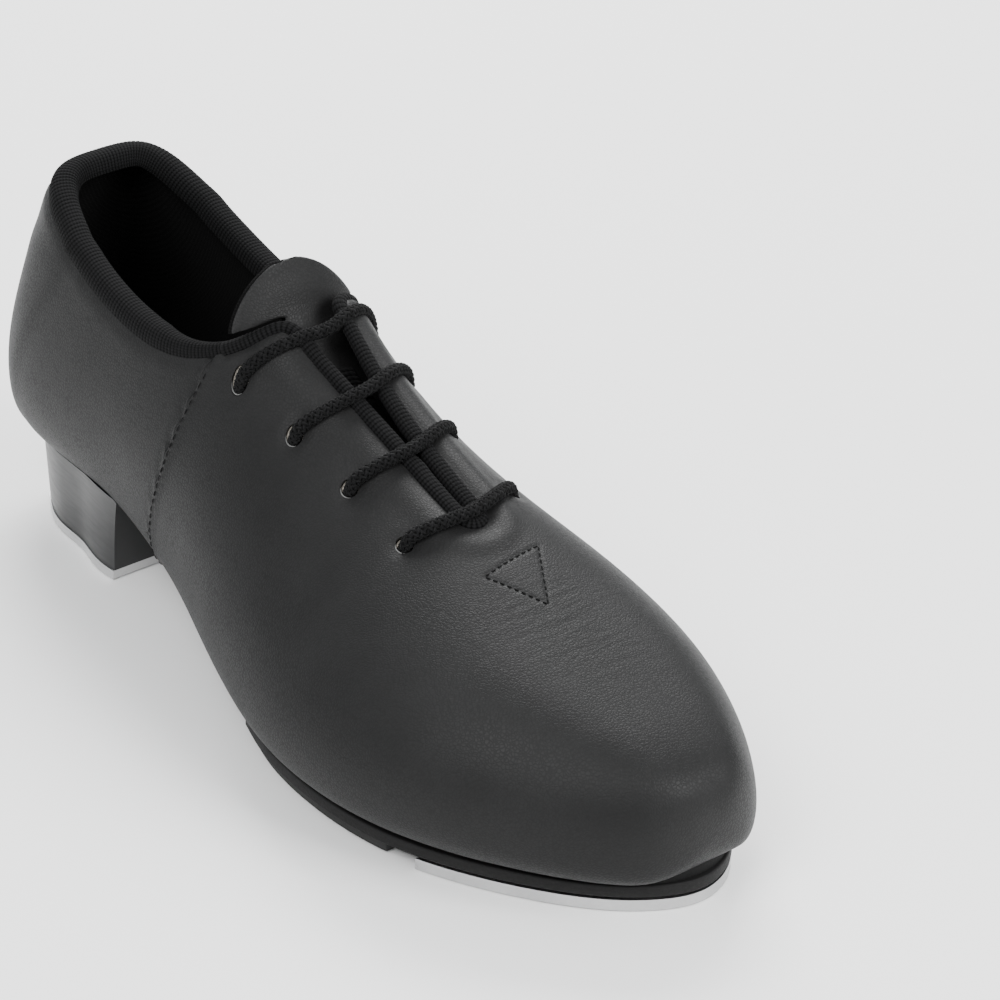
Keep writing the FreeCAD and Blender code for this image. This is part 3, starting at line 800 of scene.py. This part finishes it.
(outer1, inner1), (outer2, inner2), (outer3, inner3), (outer4, inner4) = cut["slits"]
route = [below(outer1[0] + 20, outer1[1] - 13, 8.5), below(outer1[0] + 9, outer1[1] - 7, 7.6), below(*outer1)]
route += barPoints(0) + [below(*inner1)]
route += [below((inner1[0] + inner3[0]) / 2, inner1[1] + 4.2, 7.4), below(*inner3)]
route += barPoints(2)[::-1] + [below(*outer3), below(*outer4)]
route += barPoints(3) + [below(*inner4)]
route += [below((inner4[0] + inner2[0]) / 2, inner4[1] - 4.6), below(*inner2)]
route += barPoints(1)[::-1] + [below(*outer2)]
route += [below(outer2[0] + 9, outer2[1] - 6.5, 7.6), below(outer2[0] + 20, outer2[1] - 12, 8.5)]


def smoothRoute(points, resolution=24):
    curve = bpy.data.curves.new("route", "CURVE")
    curve.dimensions = "3D"
    spline = curve.splines.new("NURBS")
    spline.points.add(len(points) - 1)
    for point, spot in zip(spline.points, points):
        point.co = (*place(*spot), 1)
    spline.order_u, spline.use_endpoint_u = 3, True
    spline.resolution_u = curve.resolution_u = resolution
    holder = bpy.data.objects.new("route", curve)
    bpy.context.collection.objects.link(holder)
    mesh = bpy.data.meshes.new_from_object(holder)
    way = [v.co.copy() for v in mesh.vertices]
    bpy.data.objects.remove(holder)
    return way


# unturning frames along a way: point, across, up, distance
def framesAlong(way, step):
    spots = evenly([(p, Vector((0, 0, 1))) for p in way], step)
    line = [spot[0] for spot in spots]
    frames, up = [], Vector((0, 0, 1))
    for i, spot in enumerate(line):
        ahead = (line[min(i + 1, len(line) - 1)] - line[max(i - 1, 0)]).normalized()
        up = (up - ahead * up.dot(ahead)).normalized()
        frames.append((spot, up.cross(ahead), up.copy(), i * step))
    return frames


def braid(name, frames, strands, pitch, radius, depth, wide, thick, sides=5):
    points, faces, loops, part = [], [], [], wide * 4 / sides
    for way in (1, -1):
        for strand in range(strands):
            base = len(points)
            for spot, across, up, along in frames:
                turn = way * 2 * math.pi * along / pitch + 2 * math.pi * strand / strands
                outward = across * math.cos(turn) + up * math.sin(turn)
                sideways = up * math.cos(turn) - across * math.sin(turn)
                level = radius + way * depth * math.cos(2 * math.pi * along * strands / pitch)
                for k in range(sides):
                    a = 2 * math.pi * k / sides
                    points.append(spot + outward * (level + thick * math.cos(a)) +
                                  sideways * (wide * math.sin(a)))
            faces += ringFaces(len(frames), sides, base)
            for here, there in zip(frames, frames[1:]):
                for k in range(sides):
                    u, v, low, high = here[3], there[3], k * part, (k + 1) * part
                    loops += [(u, low), (u, high), (v, high), (v, low)]
    piece = newPiece(name, points, faces, loops)
    faceOut(piece)
    return piece


laceFrames = framesAlong(smoothRoute(route), lace["step"] / 1000)
core = (lace["radius"] - 0.55) / 1000
coreRing = [(core * math.cos(k * math.pi / 5), core * math.sin(k * math.pi / 5)) for k in range(10)]
weave = [lace[key] / 1000 for key in ("weaveDepth", "strandWide", "strandThick")]
laceCord = braid("laceBraid", laceFrames, lace["strands"], lace["pitch"] / 1000, core + 0.0002, *weave)
laceCore = runAlong("laceCore", [(spot, up) for spot, across, up, along in laceFrames[::4]],
                    lambda i, along: coreRing, lambda spot: Vector((1, 0, 0)))
print("lace", round(laceFrames[-1][3] * 1000), "mm")

# sewing thread: each stitch a small bowed capsule
thread = {
    "rise": 0.14, "radius": 0.19, "sunk": 0.1,
    # share of the length, lift, share of the radius
    "shape": [(-0.04, -1.3, 0.5), (0.08, 0.1, 0.9), (0.32, 0.9, 1.0), (0.68, 0.9, 1.0), (0.92, 0.1, 0.9),
              (1.04, -1.3, 0.5)],
}


def stitches(name, pairs, radius):
    points, faces = [], []
    for a, b, normal in pairs:
        base, along = len(points), (b - a).normalized()
        across = normal.cross(along).normalized()
        for f, lift, size in thread["shape"]:
            middle = a.lerp(b, f) + normal * thread["rise"] * lift / 1000
            for k in range(6):
                turn = math.pi * k / 3
                outward = across * math.cos(turn) + normal * math.sin(turn)
                points.append(middle + outward * radius * size / 1000)
        faces += ringFaces(6, 6, base) + [tuple(base + end + k for k in range(6)) for end in (0, 30)]
    piece = newPiece(name, points, faces)
    faceOut(piece)
    return piece


def sideAt(x, z, side):
    hit, normal, _, _ = outerTree.ray_cast(place(x, side * 90, z), Vector((0, -side, 0)))
    return hit, normal


pairs = []
for (x0, y0), (x1, y1) in triangleSides:
    for k in range(triangle["stitches"]):
        f, g = (k + 0.16) / triangle["stitches"], (k + 0.82) / triangle["stitches"]
        a, normal = skinAt(x0 + (x1 - x0) * f, y0 + (y1 - y0) * f)
        b, _ = skinAt(x0 + (x1 - x0) * g, y0 + (y1 - y0) * g)
        pairs.append((a - normal * thread["sunk"] / 1000, b - normal * thread["sunk"] / 1000, normal))
triangleStitch = stitches("triangleStitch", pairs, thread["radius"])

seamStitch = {"from": 72.0, "to": 19.0, "every": 2.2, "length": 1.5, "back": 1.0, "radius": 0.12}
pairs = []
for side in (-1, 1):
    z = seamStitch["from"]
    while z > seamStitch["to"]:
        spots = []
        for height in (z, z - seamStitch["length"]):
            x = readLine(seamLine, height)[0] + seamStitch["back"]
            hit, normal = sideAt(x, height, side)
            lift = upper["seamRise"] * fade(seamStitch["back"], upper["seamRiseOver"])
            spots.append(hit + normal * lift / 1000)
        pairs.append((spots[0], spots[1], normal))
        z -= seamStitch["every"]
seamThread = stitches("seamThread", pairs, seamStitch["radius"])

# the raw lip that shows at each slit's outer side, light grey partly as the cut edge's own tone and partly as a
# painted highlight
lip = {"long": 2.5, "wide": 2.05, "radius": 0.18, "reach": 52}
points, faces = [], []
for pair in cut["slits"]:
    for a, b in pair:
        base, side = len(points), math.copysign(1, b)
        for i in range(11):
            turn = math.radians(-lip["reach"] + 2 * lip["reach"] * i / 10)
            x, y = a + lip["long"] * math.sin(turn), b + side * lip["wide"] * math.cos(turn)
            hit, normal = skinAt(x, y)
            out = Vector((math.sin(turn), side * math.cos(turn), 0))
            out = (out - normal * out.dot(normal)).normalized()
            size = lip["radius"] * (1 - (abs(i - 5) / 5) ** 2 * 0.85) / 1000
            for k in range(6):
                c = math.pi * k / 3
                points.append(hit - normal * 0.00042 + (out * math.cos(c) + normal * math.sin(c)) * size)
        faces += ringFaces(11, 6, base)
slitLips = newPiece("slitLips", points, faces)
faceOut(slitLips)
print("stitching done")

# forefoot sole: leather outsole, welt strip and rubber pad
sole = {
    "outer": [(118, -34), (130, -39.6), (140, -43.4), (152, -46.9), (166, -48.7), (182, -48.5), (198, -45.6),
              (214, -39.2), (230, -29.6), (241, -20.6), (248.6, -11)],
    "inner": [(118, 23), (130, 25.6), (140, 27.8), (152, 30), (166, 32), (182, 33), (198, 32.4), (214, 29.6),
              (230, 24.0), (241, 17.8), (248.6, 10.5)],
    "tip": (252.4, -0.3), "base": 3.4, "top": 6.6, "rear": 138.0, "padRear": 144.5, "padFront": 195.5,
    "bendFrom": 158, "bendTo": 206, "bendEvery": 3, "ballLine": 186,
    # up and in, in metres
    "weltShape": [(0, 0), (0, 0.005), (0.0022, 0.005), (0.0026, 0.0012), (0.0022, 0.0003)],
}


def soleLine(grow):
    points = [(x, y - grow) for x, y in sole["outer"]] + [(sole["tip"][0] + grow, sole["tip"][1])]
    points += [(x, y + grow) for x, y in sole["inner"][::-1]]
    return curveThrough(points, 8)


def bisectAt(piece, point, normal, clear=None):
    editWhole(piece, bpy.ops.mesh.bisect, plane_co=point, plane_no=normal, use_fill=clear is not None,
              clear_inner=clear == "inner", clear_outer=clear == "outer")


def bendLines(piece):
    x = sole["bendFrom"]
    while x <= sole["bendTo"]:
        bisectAt(piece, place(x, 0, 0), (1, 0, 0))
        x += sole["bendEvery"]


def soleLayer(name, grow, low, high, rear, front=None, soft=0.4):
    line = soleLine(grow)
    piece = newPiece(name, [place(x, y, low) for x, y in line], [tuple(range(len(line)))])
    editWhole(piece, bpy.ops.mesh.extrude_region_move,
              TRANSFORM_OT_translate={"value": (0, 0, (high - low) / 1000)})
    faceOut(piece)
    bisectAt(piece, place(rear, 0, 0), (1, 0, 0), "inner")
    if front:
        bisectAt(piece, place(front, 0, 0), (1, 0, 0), "outer")
    softenEdges(piece, soft, 3, 40)
    bendLines(piece)
    faceOut(piece, 35)
    return piece


outsole = soleLayer("outsole", 0.0, sole["base"], sole["top"], sole["rear"], soft=0.5)
pad = soleLayer("pad", -1.7, 0.0, sole["base"] - 0.02, sole["padRear"], sole["padFront"], 0.45)
weltLine = [place(x, y, sole["top"]) for x, y in soleLine(-1.3)]
weltLine = [p for p in weltLine if onLast(p)[0] > sole["rear"] + 0.8]
weltSpots = evenly([(p, Vector((0, 0, 1))) for p in weltLine], 0.0016)
welt = runAlong("welt", weltSpots, lambda i, along: sole["weltShape"],
                lambda spot: place(max(150, min(225, onLast(spot)[0])), -8, 6.6) - spot)
faceOut(welt, 35)
print("sole done")


# footbed, boards and padding keep the frame's own shape, joined where they cross a bend
def fromNodes(name, *nodes):
    twins = []
    for node in nodes:
        twin = copyOf(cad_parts[node], "%s_%s" % (name, node))
        twin.parent = None
        twin.matrix_world = Matrix.Identity(4)
        twin.data.materials.clear()
        joinDoubles(twin)
        if len(nodes) > 1:
            edge = place(sole["ballLine"], 0, 0).x
            for v in twin.data.vertices:
                if abs(v.co.x - edge) < 0.0003:
                    v.co.x = edge
            shell = bmesh.new()
            shell.from_mesh(twin.data)
            flat = [f for f in shell.faces if all(abs(v.co.x - edge) < 0.00001 for v in f.verts)]
            bmesh.ops.delete(shell, geom=flat, context="FACES")
            shell.to_mesh(twin.data)
            shell.free()
        twins.append(twin)
    clearSelection()
    for twin in twins:
        twin.select_set(True)
    piece = bpy.context.view_layer.objects.active = twins[0]
    if len(twins) > 1:
        bpy.ops.object.join()
        joinDoubles(piece, 0.00003)
    piece.name = piece.data.name = name
    return piece


insoleFore = fromNodes("insoleFore", "insole_ball", "insole_toe")
sockFore = fromNodes("sockFore", "sock_ball", "sock_toe")
sockHeel = fromNodes("sockHeel", "sock_heel")
collarPadding = fromNodes("collarPadding", "collar_padding")
for piece in (insoleFore, sockFore):
    bendLines(piece)
for piece in (insoleFore, sockFore, sockHeel, collarPadding):
    pick(piece)
    bpy.ops.object.shade_smooth_by_angle(angle=math.radians(32))
print("footbed done")


# shared effects
def newGroup(name, inputs, outputs):
    tree = bpy.data.node_groups.new(name, "ShaderNodeTree")
    tree.interface.new_socket("Vector", in_out="INPUT", socket_type="NodeSocketVector")
    for label, value in inputs:
        socket = tree.interface.new_socket(label, in_out="INPUT", socket_type="NodeSocketFloat")
        socket.default_value = value
    for label in outputs:
        tree.interface.new_socket(label, in_out="OUTPUT", socket_type="NodeSocketFloat")
    return tree, tree.nodes.new("NodeGroupInput"), tree.nodes.new("NodeGroupOutput")


def addNode(tree, kind, settings=None, **inputs):
    node = tree.nodes.new("ShaderNode" + kind)
    for name, value in (settings or {}).items():
        setattr(node, name, value)
    for name, value in inputs.items():
        key = int(name[1:]) if name[0] == "i" and name[1:].isdigit() else name
        if isinstance(value, bpy.types.NodeSocket):
            tree.links.new(value, node.inputs[key])
        else:
            node.inputs[key].default_value = value
    return node


def sums(tree, operation, a, b=0.0, clamp=False):
    return addNode(tree, "Math", {"operation": operation, "use_clamp": clamp}, i0=a, i1=b).outputs[0]


def times(tree, a, b):
    return sums(tree, "MULTIPLY", a, b)


def plus(tree, a, b, clamp=False):
    return sums(tree, "ADD", a, b, clamp)


def noise(tree, vector, scale, detail, roughness=0.5):
    node = addNode(tree, "TexNoise", Vector=vector, Scale=scale, Detail=detail, Roughness=roughness)
    return node.outputs[0]


def ramp(tree, value, low, high, start=0.0, end=1.0, smooth=True):
    kind = {"interpolation_type": "SMOOTHSTEP" if smooth else "LINEAR"}
    return addNode(tree, "MapRange", kind, i0=value, i1=low, i2=high, i3=start, i4=end).outputs[0]


def shiftedBy(tree, vector, scale):
    return addNode(tree, "VectorMath", {"operation": "MULTIPLY"}, i0=vector, i1=scale).outputs[0]


def leatherGrainGroup():
    tree, inside, outside = newGroup("leatherGrain", [("Size", 1250.0), ("Crumple", 0.3)], ["Height", "Pores"])
    vector = inside.outputs["Vector"]
    warp = addNode(tree, "TexNoise", i0=vector, Scale=260.0, Detail=2.0).outputs["Color"]
    moved = addNode(tree, "VectorMath", {"operation": "MULTIPLY_ADD"},
                    i0=warp, i1=(0.0009, 0.0009, 0.0009), i2=vector).outputs[0]
    cells = addNode(tree, "TexVoronoi", {"feature": "DISTANCE_TO_EDGE"},
                    Vector=moved, Scale=inside.outputs["Size"])
    pebble = ramp(tree, cells.outputs["Distance"], 0.0, 0.22)
    fine = noise(tree, vector, 2600.0, 3.0)
    broad = noise(tree, vector, 170.0, 2.0)
    height = plus(tree, times(tree, pebble, 0.55), times(tree, fine, 0.45))
    height = plus(tree, height, times(tree, broad, inside.outputs["Crumple"]))
    tree.links.new(height, outside.inputs["Height"])
    # Pores: the low lines between the grain's pebbles; rougher there, and the leather's colour darkens them as
    # painted shade
    tree.links.new(sums(tree, "SUBTRACT", 1.0, pebble), outside.inputs["Pores"])
    return tree


def mottleGroup():
    tree, inside, outside = newGroup("mottle", [("Size", 40.0), ("Contrast", 0.5)], ["Mask"])
    cloud = noise(tree, inside.outputs["Vector"], inside.outputs["Size"], 4.0, 0.6)
    low = sums(tree, "SUBTRACT", 0.5, sums(tree, "DIVIDE", 0.25, inside.outputs["Contrast"]))
    high = plus(tree, 0.5, sums(tree, "DIVIDE", 0.25, inside.outputs["Contrast"]))
    tree.links.new(ramp(tree, cloud, low, high), outside.inputs["Mask"])
    return tree


def knitRibsGroup():
    tree, inside, outside = newGroup("knitRibs", [("Rib", 0.00115), ("Loop", 0.0009)], ["Height", "Shade"])
    parts = addNode(tree, "SeparateXYZ", i0=inside.outputs["Vector"])
    along, across = parts.outputs[0], parts.outputs[1]
    turned = times(tree, sums(tree, "DIVIDE", along, inside.outputs["Rib"]), math.pi)
    ribs = sums(tree, "ABSOLUTE", sums(tree, "SINE", turned))
    looped = times(tree, sums(tree, "DIVIDE", across, inside.outputs["Loop"]), 2 * math.pi)
    loops = sums(tree, "SINE", plus(tree, looped, times(tree, times(tree, ribs, 0.9), 2.0)))
    fuzz = noise(tree, inside.outputs["Vector"], 3800.0, 2.0)
    height = plus(tree, times(tree, ribs, 0.6), times(tree, loops, 0.16))
    height = plus(tree, height, times(tree, fuzz, 0.3))
    tree.links.new(height, outside.inputs["Height"])
    # Shade: the rib valleys painted darker as painted shade, mixed with the fuzz's random tone
    tree.links.new(ramp(tree, height, 0.1, 0.85), outside.inputs["Shade"])
    return tree


def clothWeaveGroup():
    tree, inside, outside = newGroup("clothWeave", [("Threads", 1500.0)], ["Height", "Shade"])
    parts = addNode(tree, "SeparateXYZ", i0=inside.outputs["Vector"])
    turns = times(tree, inside.outputs["Threads"], 2 * math.pi)
    flat = plus(tree, parts.outputs[1], parts.outputs[2])
    warp = sums(tree, "SINE", times(tree, parts.outputs[0], turns))
    weft = sums(tree, "SINE", times(tree, flat, turns))
    fuzz = noise(tree, inside.outputs["Vector"], 2400.0, 3.0)
    height = plus(tree, times(tree, times(tree, warp, weft), 0.3), fuzz)
    tree.links.new(height, outside.inputs["Height"])
    # Shade: the fuzz's random tone, with the weave's low crossings painted darker as painted shade
    tree.links.new(ramp(tree, height, 0.25, 0.85), outside.inputs["Shade"])
    return tree


groups = {
    "grain": leatherGrainGroup(), "mottle": mottleGroup(), "knit": knitRibsGroup(), "weave": clothWeaveGroup(),
}


def useGroup(tree, name, **inputs):
    node = tree.nodes.new("ShaderNodeGroup")
    node.node_tree = groups[name]
    for label, value in inputs.items():
        if isinstance(value, bpy.types.NodeSocket):
            tree.links.new(value, node.inputs[label])
        else:
            node.inputs[label].default_value = value
    return node


def newFinish(name, roughness=0.5, metallic=0.0, specular=0.5, **more):
    finish = bpy.data.materials.new(name)
    finish.use_nodes = True
    tree = finish.node_tree
    shader = tree.nodes["Principled BSDF"]
    shader.inputs["Roughness"].default_value = roughness
    shader.inputs["Metallic"].default_value = metallic
    shader.inputs["Specular IOR Level"].default_value = specular
    for label, value in more.items():
        shader.inputs[label.replace("_", " ")].default_value = value
    spots = tree.nodes.new("ShaderNodeTexCoord")
    return finish, tree, shader, spots


def grey(level):
    return level, level, level


def colourBy(tree, shader, mask, dark, light):
    mix = addNode(tree, "Mix", {"data_type": "RGBA"}, i0=mask)
    mix.inputs[6].default_value, mix.inputs[7].default_value = (*dark, 1), (*light, 1)
    tree.links.new(mix.outputs[2], shader.inputs["Base Color"])


def bump(tree, shader, height, distance, strength=1.0, under=None):
    node = addNode(tree, "Bump", Strength=strength, Distance=distance, Height=height)
    if under:
        tree.links.new(under.outputs[0], node.inputs["Normal"])
    tree.links.new(node.outputs[0], shader.inputs["Normal"])
    return node


leatherLook = {
    "dark": grey(0.0058), "light": (0.0098, 0.0098, 0.0099), "grain": 1250.0, "grainHeight": 0.00007,
    "creaseAt": (205, -4, 50), "creaseReach": (0.006, 0.030), "creaseHeight": 0.00016, "rough": (0.42, 0.52),
}


def leatherFinish():
    finish, tree, shader, spots = newFinish("upperLeather", 0.45, 0.0, 0.19)
    vector = spots.outputs["Object"]
    grain = useGroup(tree, "grain", Vector=vector, Size=leatherLook["grain"], Crumple=0.5)
    cloud = useGroup(tree, "mottle", Vector=vector, Size=45.0, Contrast=0.7)
    away = addNode(tree, "VectorMath", {"operation": "DISTANCE"}, i0=vector, i1=place(*leatherLook["creaseAt"]))
    near = ramp(tree, away.outputs["Value"], *leatherLook["creaseReach"], 1.0, 0.0)
    stretched = shiftedBy(tree, vector, (1.0, 0.16, 0.35))
    fold = noise(tree, stretched, 620.0, 3.0, 0.55)
    first = bump(tree, shader, times(tree, fold, near), leatherLook["creaseHeight"], 0.9)
    bump(tree, shader, grain.outputs["Height"], leatherLook["grainHeight"], 0.8, first)
    # colour: random mottle, with the pore lines darkened as painted shade
    shade = sums(tree, "SUBTRACT", cloud.outputs["Mask"], times(tree, grain.outputs["Pores"], 0.5), True)
    colourBy(tree, shader, shade, leatherLook["dark"], leatherLook["light"])
    rough = ramp(tree, cloud.outputs["Mask"], 0.0, 1.0, *leatherLook["rough"], False)
    tree.links.new(plus(tree, rough, times(tree, grain.outputs["Pores"], 0.10)), shader.inputs["Roughness"])
    return finish


def knitFinish(name, rib, dark, light, height=0.00022):
    finish, tree, shader, spots = newFinish(name, 0.9, 0.0, 0.06, Sheen_Weight=0.015, Sheen_Roughness=0.5)
    knit = useGroup(tree, "knit", Vector=spots.outputs["UV"], Rib=rib, Loop=0.0008)
    # colour: darker in the rib valleys, a painted shade
    colourBy(tree, shader, knit.outputs["Shade"], dark, light)
    bump(tree, shader, knit.outputs["Height"], height)
    return finish


def clothFinish(name, dark, light, threads, height=0.0001):
    finish, tree, shader, spots = newFinish(name, 0.92, 0.0, 0.08, Sheen_Weight=0.01, Sheen_Roughness=0.5)
    weave = useGroup(tree, "weave", Vector=spots.outputs["Object"], Threads=threads)
    # colour: the fuzz's random tone, darker where the weave sits low as painted shade
    colourBy(tree, shader, weave.outputs["Shade"], dark, light)
    bump(tree, shader, weave.outputs["Height"], height)
    return finish


def yarnFinish(name, dark, light, twist, height=0.00009):
    finish, tree, shader, spots = newFinish(name, 0.78, 0.0, 0.09, Sheen_Weight=0.02, Sheen_Roughness=0.45)
    stretched = shiftedBy(tree, spots.outputs["UV"], (0.25, 1.0, 1.0))
    fibres = noise(tree, stretched, twist, 3.0)
    colourBy(tree, shader, ramp(tree, fibres, 0.3, 0.7), dark, light)
    bump(tree, shader, fibres, height)
    return finish


def grainyFinish(name, dark, light, size, height, rough, metallic=0.0, stretch=(1, 1, 1), specular=0.5):
    finish, tree, shader, spots = newFinish(name, rough, metallic, specular)
    cloud = useGroup(tree, "mottle", Vector=spots.outputs["Object"], Size=60.0, Contrast=0.7)
    stretched = shiftedBy(tree, spots.outputs["Object"], stretch)
    fine = noise(tree, stretched, size, 4.0, 0.6)
    shade = plus(tree, times(tree, cloud.outputs["Mask"], 0.5), times(tree, fine, 0.5), True)
    colourBy(tree, shader, shade, dark, light)
    tree.links.new(ramp(tree, fine, 0.2, 0.8, rough - 0.07, rough + 0.09, False), shader.inputs["Roughness"])
    bump(tree, shader, fine, height)
    return finish


def ribbedRubber():
    finish, tree, shader, spots = newFinish("padRubber", 0.62, 0.0, 0.25)
    parts = addNode(tree, "SeparateXYZ", i0=spots.outputs["Object"])
    wave = sums(tree, "SINE", times(tree, parts.outputs[0], 2 * math.pi / 0.003))
    ribs = ramp(tree, wave, -0.5, -0.1)
    under = ramp(tree, parts.outputs[2], 0.0001, 0.0006, 1.0, 0.0)
    fine = noise(tree, spots.outputs["Object"], 1800.0, 3.0)
    height = plus(tree, times(tree, ribs, under), times(tree, fine, 0.15))
    colourBy(tree, shader, times(tree, fine, 0.8), grey(0.012), (0.032, 0.032, 0.031))
    bump(tree, shader, height, 0.0006)
    return finish


finishes = {
    "leather": leatherFinish(),
    # knit: its dark end colours the rib valleys, a painted shade
    "knit": knitFinish("knitEdge", binding["ribEvery"] / 1000, grey(0.0012), (0.0085, 0.0085, 0.0088)),
    # lining and sock: their dark end colours the fuzz and the weave's low parts, partly painted shade
    "lining": clothFinish("liningCloth", grey(0.0025), grey(0.0065), 900.0),
    "sock": clothFinish("sockCloth", grey(0.005), grey(0.013), 1100.0),
    "lace": yarnFinish("laceYarn", grey(0.0018), (0.0085, 0.0085, 0.0088), 2600.0),
    "thread": grainyFinish("sewingThread", grey(0.0015), grey(0.006), 4000.0, 0.00003, 0.6, specular=0.15),
    # light grey cut edge at the slit lips, partly its own tone and partly a painted highlight
    "cutEdgeAndHighlight": grainyFinish("cutLeatherEdgeAndHighlight", grey(0.07), (0.16, 0.16, 0.157), 2500.0, 0.00005, 0.6),
    "outsole": grainyFinish("soleLeather", grey(0.004), (0.010, 0.0095, 0.0095), 1500.0, 0.00012, 0.66,
                            specular=0.2),
    "welt": grainyFinish("weltLeather", grey(0.003), grey(0.007), 1700.0, 0.0001, 0.7, specular=0.15),
    "rubber": ribbedRubber(),
    "heel": grainyFinish("heelStack", (0.007, 0.007, 0.0072), (0.012, 0.012, 0.0124), 900.0, 0.000012, 0.36,
                         specular=0.4, stretch=(0.12, 0.12, 1.0)),
    "tap": grainyFinish("tapAluminium", (0.44, 0.44, 0.445), grey(0.64), 1500.0, 0.00002, 0.32, 1.0,
                        (0.1, 1.0, 1.0)),
    "screw": grainyFinish("screwSteel", (0.38, 0.38, 0.39), (0.60, 0.60, 0.61), 2200.0, 0.00002, 0.33, 1.0),
    "board": grainyFinish("fibreBoard", (0.16, 0.12, 0.08), (0.28, 0.22, 0.16), 1400.0, 0.0001, 0.85,
                          stretch=(0.3, 1.0, 1.0)),
    "stiffener": grainyFinish("stiffenerBoard", (0.22, 0.20, 0.17), (0.36, 0.33, 0.29), 1600.0, 0.0001, 0.88,
                              stretch=(0.4, 1.0, 1.0)),
    "foam": grainyFinish("paddingFoam", (0.30, 0.29, 0.26), (0.44, 0.43, 0.40), 1300.0, 0.0003, 0.95),
}


def dress(piece, finish):
    piece.data.materials.clear()
    piece.data.materials.append(finishes[finish])


ownNodes = {
    "stiffener": ("heel_counter", "facing_stay", "toe_puff"), "board": ("insole_heel",),
    "heel": ("heel_block",), "tap": ("heel_tap", "toe_tap"), "outsole": ("toe_tap_board",),
    "screw": ("heel_tap_screws", "toe_tap_screws", "heel_nails"),
}
for finish, nodes in ownNodes.items():
    for node in nodes:
        dress(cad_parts[node], finish)

# where each new piece belongs: piece, finish, slot, CAD nodes it stands for, and how it moves
ballBend = ("midfoot", "toe", place(165, 0, 3), place(197.7, 0, -6.1))
archBend = ("heel", "midfoot", place(60, 0, 45), place(84, 0, 45))
tongueBend = ("midfoot", "tongue", place(105.4, 0, 84), place(102.2, 0, 91.5))
pieceTable = [
    (vamp, "leather", "upper_leather", ("vamp_instep", "vamp_toe"), ballBend),
    (quarter, "leather", "upper_leather", ("quarter",), archBend),
    (vampLining, "lining", "lining_fabric", ("instep_lining", "toe_lining"), ballBend),
    (quarterLining, "lining", "lining_fabric", ("quarter_lining",), archBend),
    (collarBinding, "knit", "knit_binding", ("collar_binding",), archBend),
    (collarPadding, "foam", "padding_foam", ("collar_padding",), archBend),
    (throatBinding, "knit", "knit_binding", ("throat_binding",), "midfoot"),
    (tongueLeather, "leather", "upper_leather", ("tongue_body", "tongue_top"), tongueBend),
    (tongueLining, "lining", "lining_fabric", ("tongue_body_lining", "tongue_top_lining"), tongueBend),
    (laceKeeper, "knit", "knit_binding", ("lace_keeper",), "midfoot"),
    (laceCord, "lace", "lace_cord", ("lace",), "midfoot"),
    (laceCore, "lace", "lace_cord", (), "midfoot"),
    (triangleStitch, "thread", "thread", ("triangle_stitch",), ballBend),
    (seamThread, "thread", "thread", (), "midfoot"),
    (slitLips, "cutEdgeAndHighlight", "upper_leather", (), "midfoot"),
    (outsole, "outsole", "sole_leather", ("outsole_ball", "outsole_toe"), ballBend),
    (welt, "welt", "sole_leather", ("welt_ball", "welt_toe"), ballBend),
    (pad, "rubber", "pad_rubber", ("pad_rear", "pad_front"), ballBend),
    (insoleFore, "board", "insole_board", ("insole_ball", "insole_toe"), ballBend),
    (sockFore, "sock", "sock_liner", ("sock_ball", "sock_toe"), ballBend),
    (sockHeel, "sock", "sock_liner", ("sock_heel",), archBend),
]
for piece, finish, slot, nodes, motion in pieceTable:
    dress(piece, finish)
    if motion == "midfoot":
        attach(piece, motion)
    else:
        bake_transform(piece)
    if nodes:
        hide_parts(*nodes)
print("pieces dressed")

studio = {
    "sky": (0.92, 0.94, 0.96, 1), "skyStrength": 0.85, "floor": (0.97, 0.97, 0.965, 1),
    # place, aimed at, size, watts
    "lamps": [((0.25, -0.75, 0.95), (0.02, 0, 0.04), (0.7, 0.7), 13),
              ((0.95, 0.35, 0.75), (0.03, 0, 0.04), (0.6, 0.6), 16),
              ((-0.7, 0.6, 0.9), (-0.02, 0, 0.05), (0.8, 0.5), 24)],
}


def makeStudio():
    world = bpy.data.worlds.new("studio")
    world.use_nodes = True
    sky = world.node_tree.nodes["Background"]
    sky.inputs["Color"].default_value = studio["sky"]
    sky.inputs["Strength"].default_value = studio["skyStrength"]
    bpy.context.scene.world = world
    for number, (spot, aim, size, watts) in enumerate(studio["lamps"]):
        lamp = bpy.data.lights.new("lamp%d" % number, "AREA")
        lamp.shape, lamp.size, lamp.size_y, lamp.energy = "RECTANGLE", size[0], size[1], watts
        holder = bpy.data.objects.new("lamp%d" % number, lamp)
        bpy.context.collection.objects.link(holder)
        turn = (Vector(spot) - Vector(aim)).to_track_quat("Z", "Y")
        holder.matrix_world = Matrix.Translation(spot) @ turn.to_matrix().to_4x4()
    clearSelection()
    bpy.ops.mesh.primitive_plane_add(size=6, location=(0, 0, -0.0003))
    floor = bpy.context.object
    floor.name = "floor"
    paint = bpy.data.materials.new("floorPaint")
    paint.use_nodes = True
    paint.node_tree.nodes["Principled BSDF"].inputs["Base Color"].default_value = studio["floor"]
    paint.node_tree.nodes["Principled BSDF"].inputs["Roughness"].default_value = 0.8
    floor.data.materials.append(paint)


makeStudio()
print("studio done")
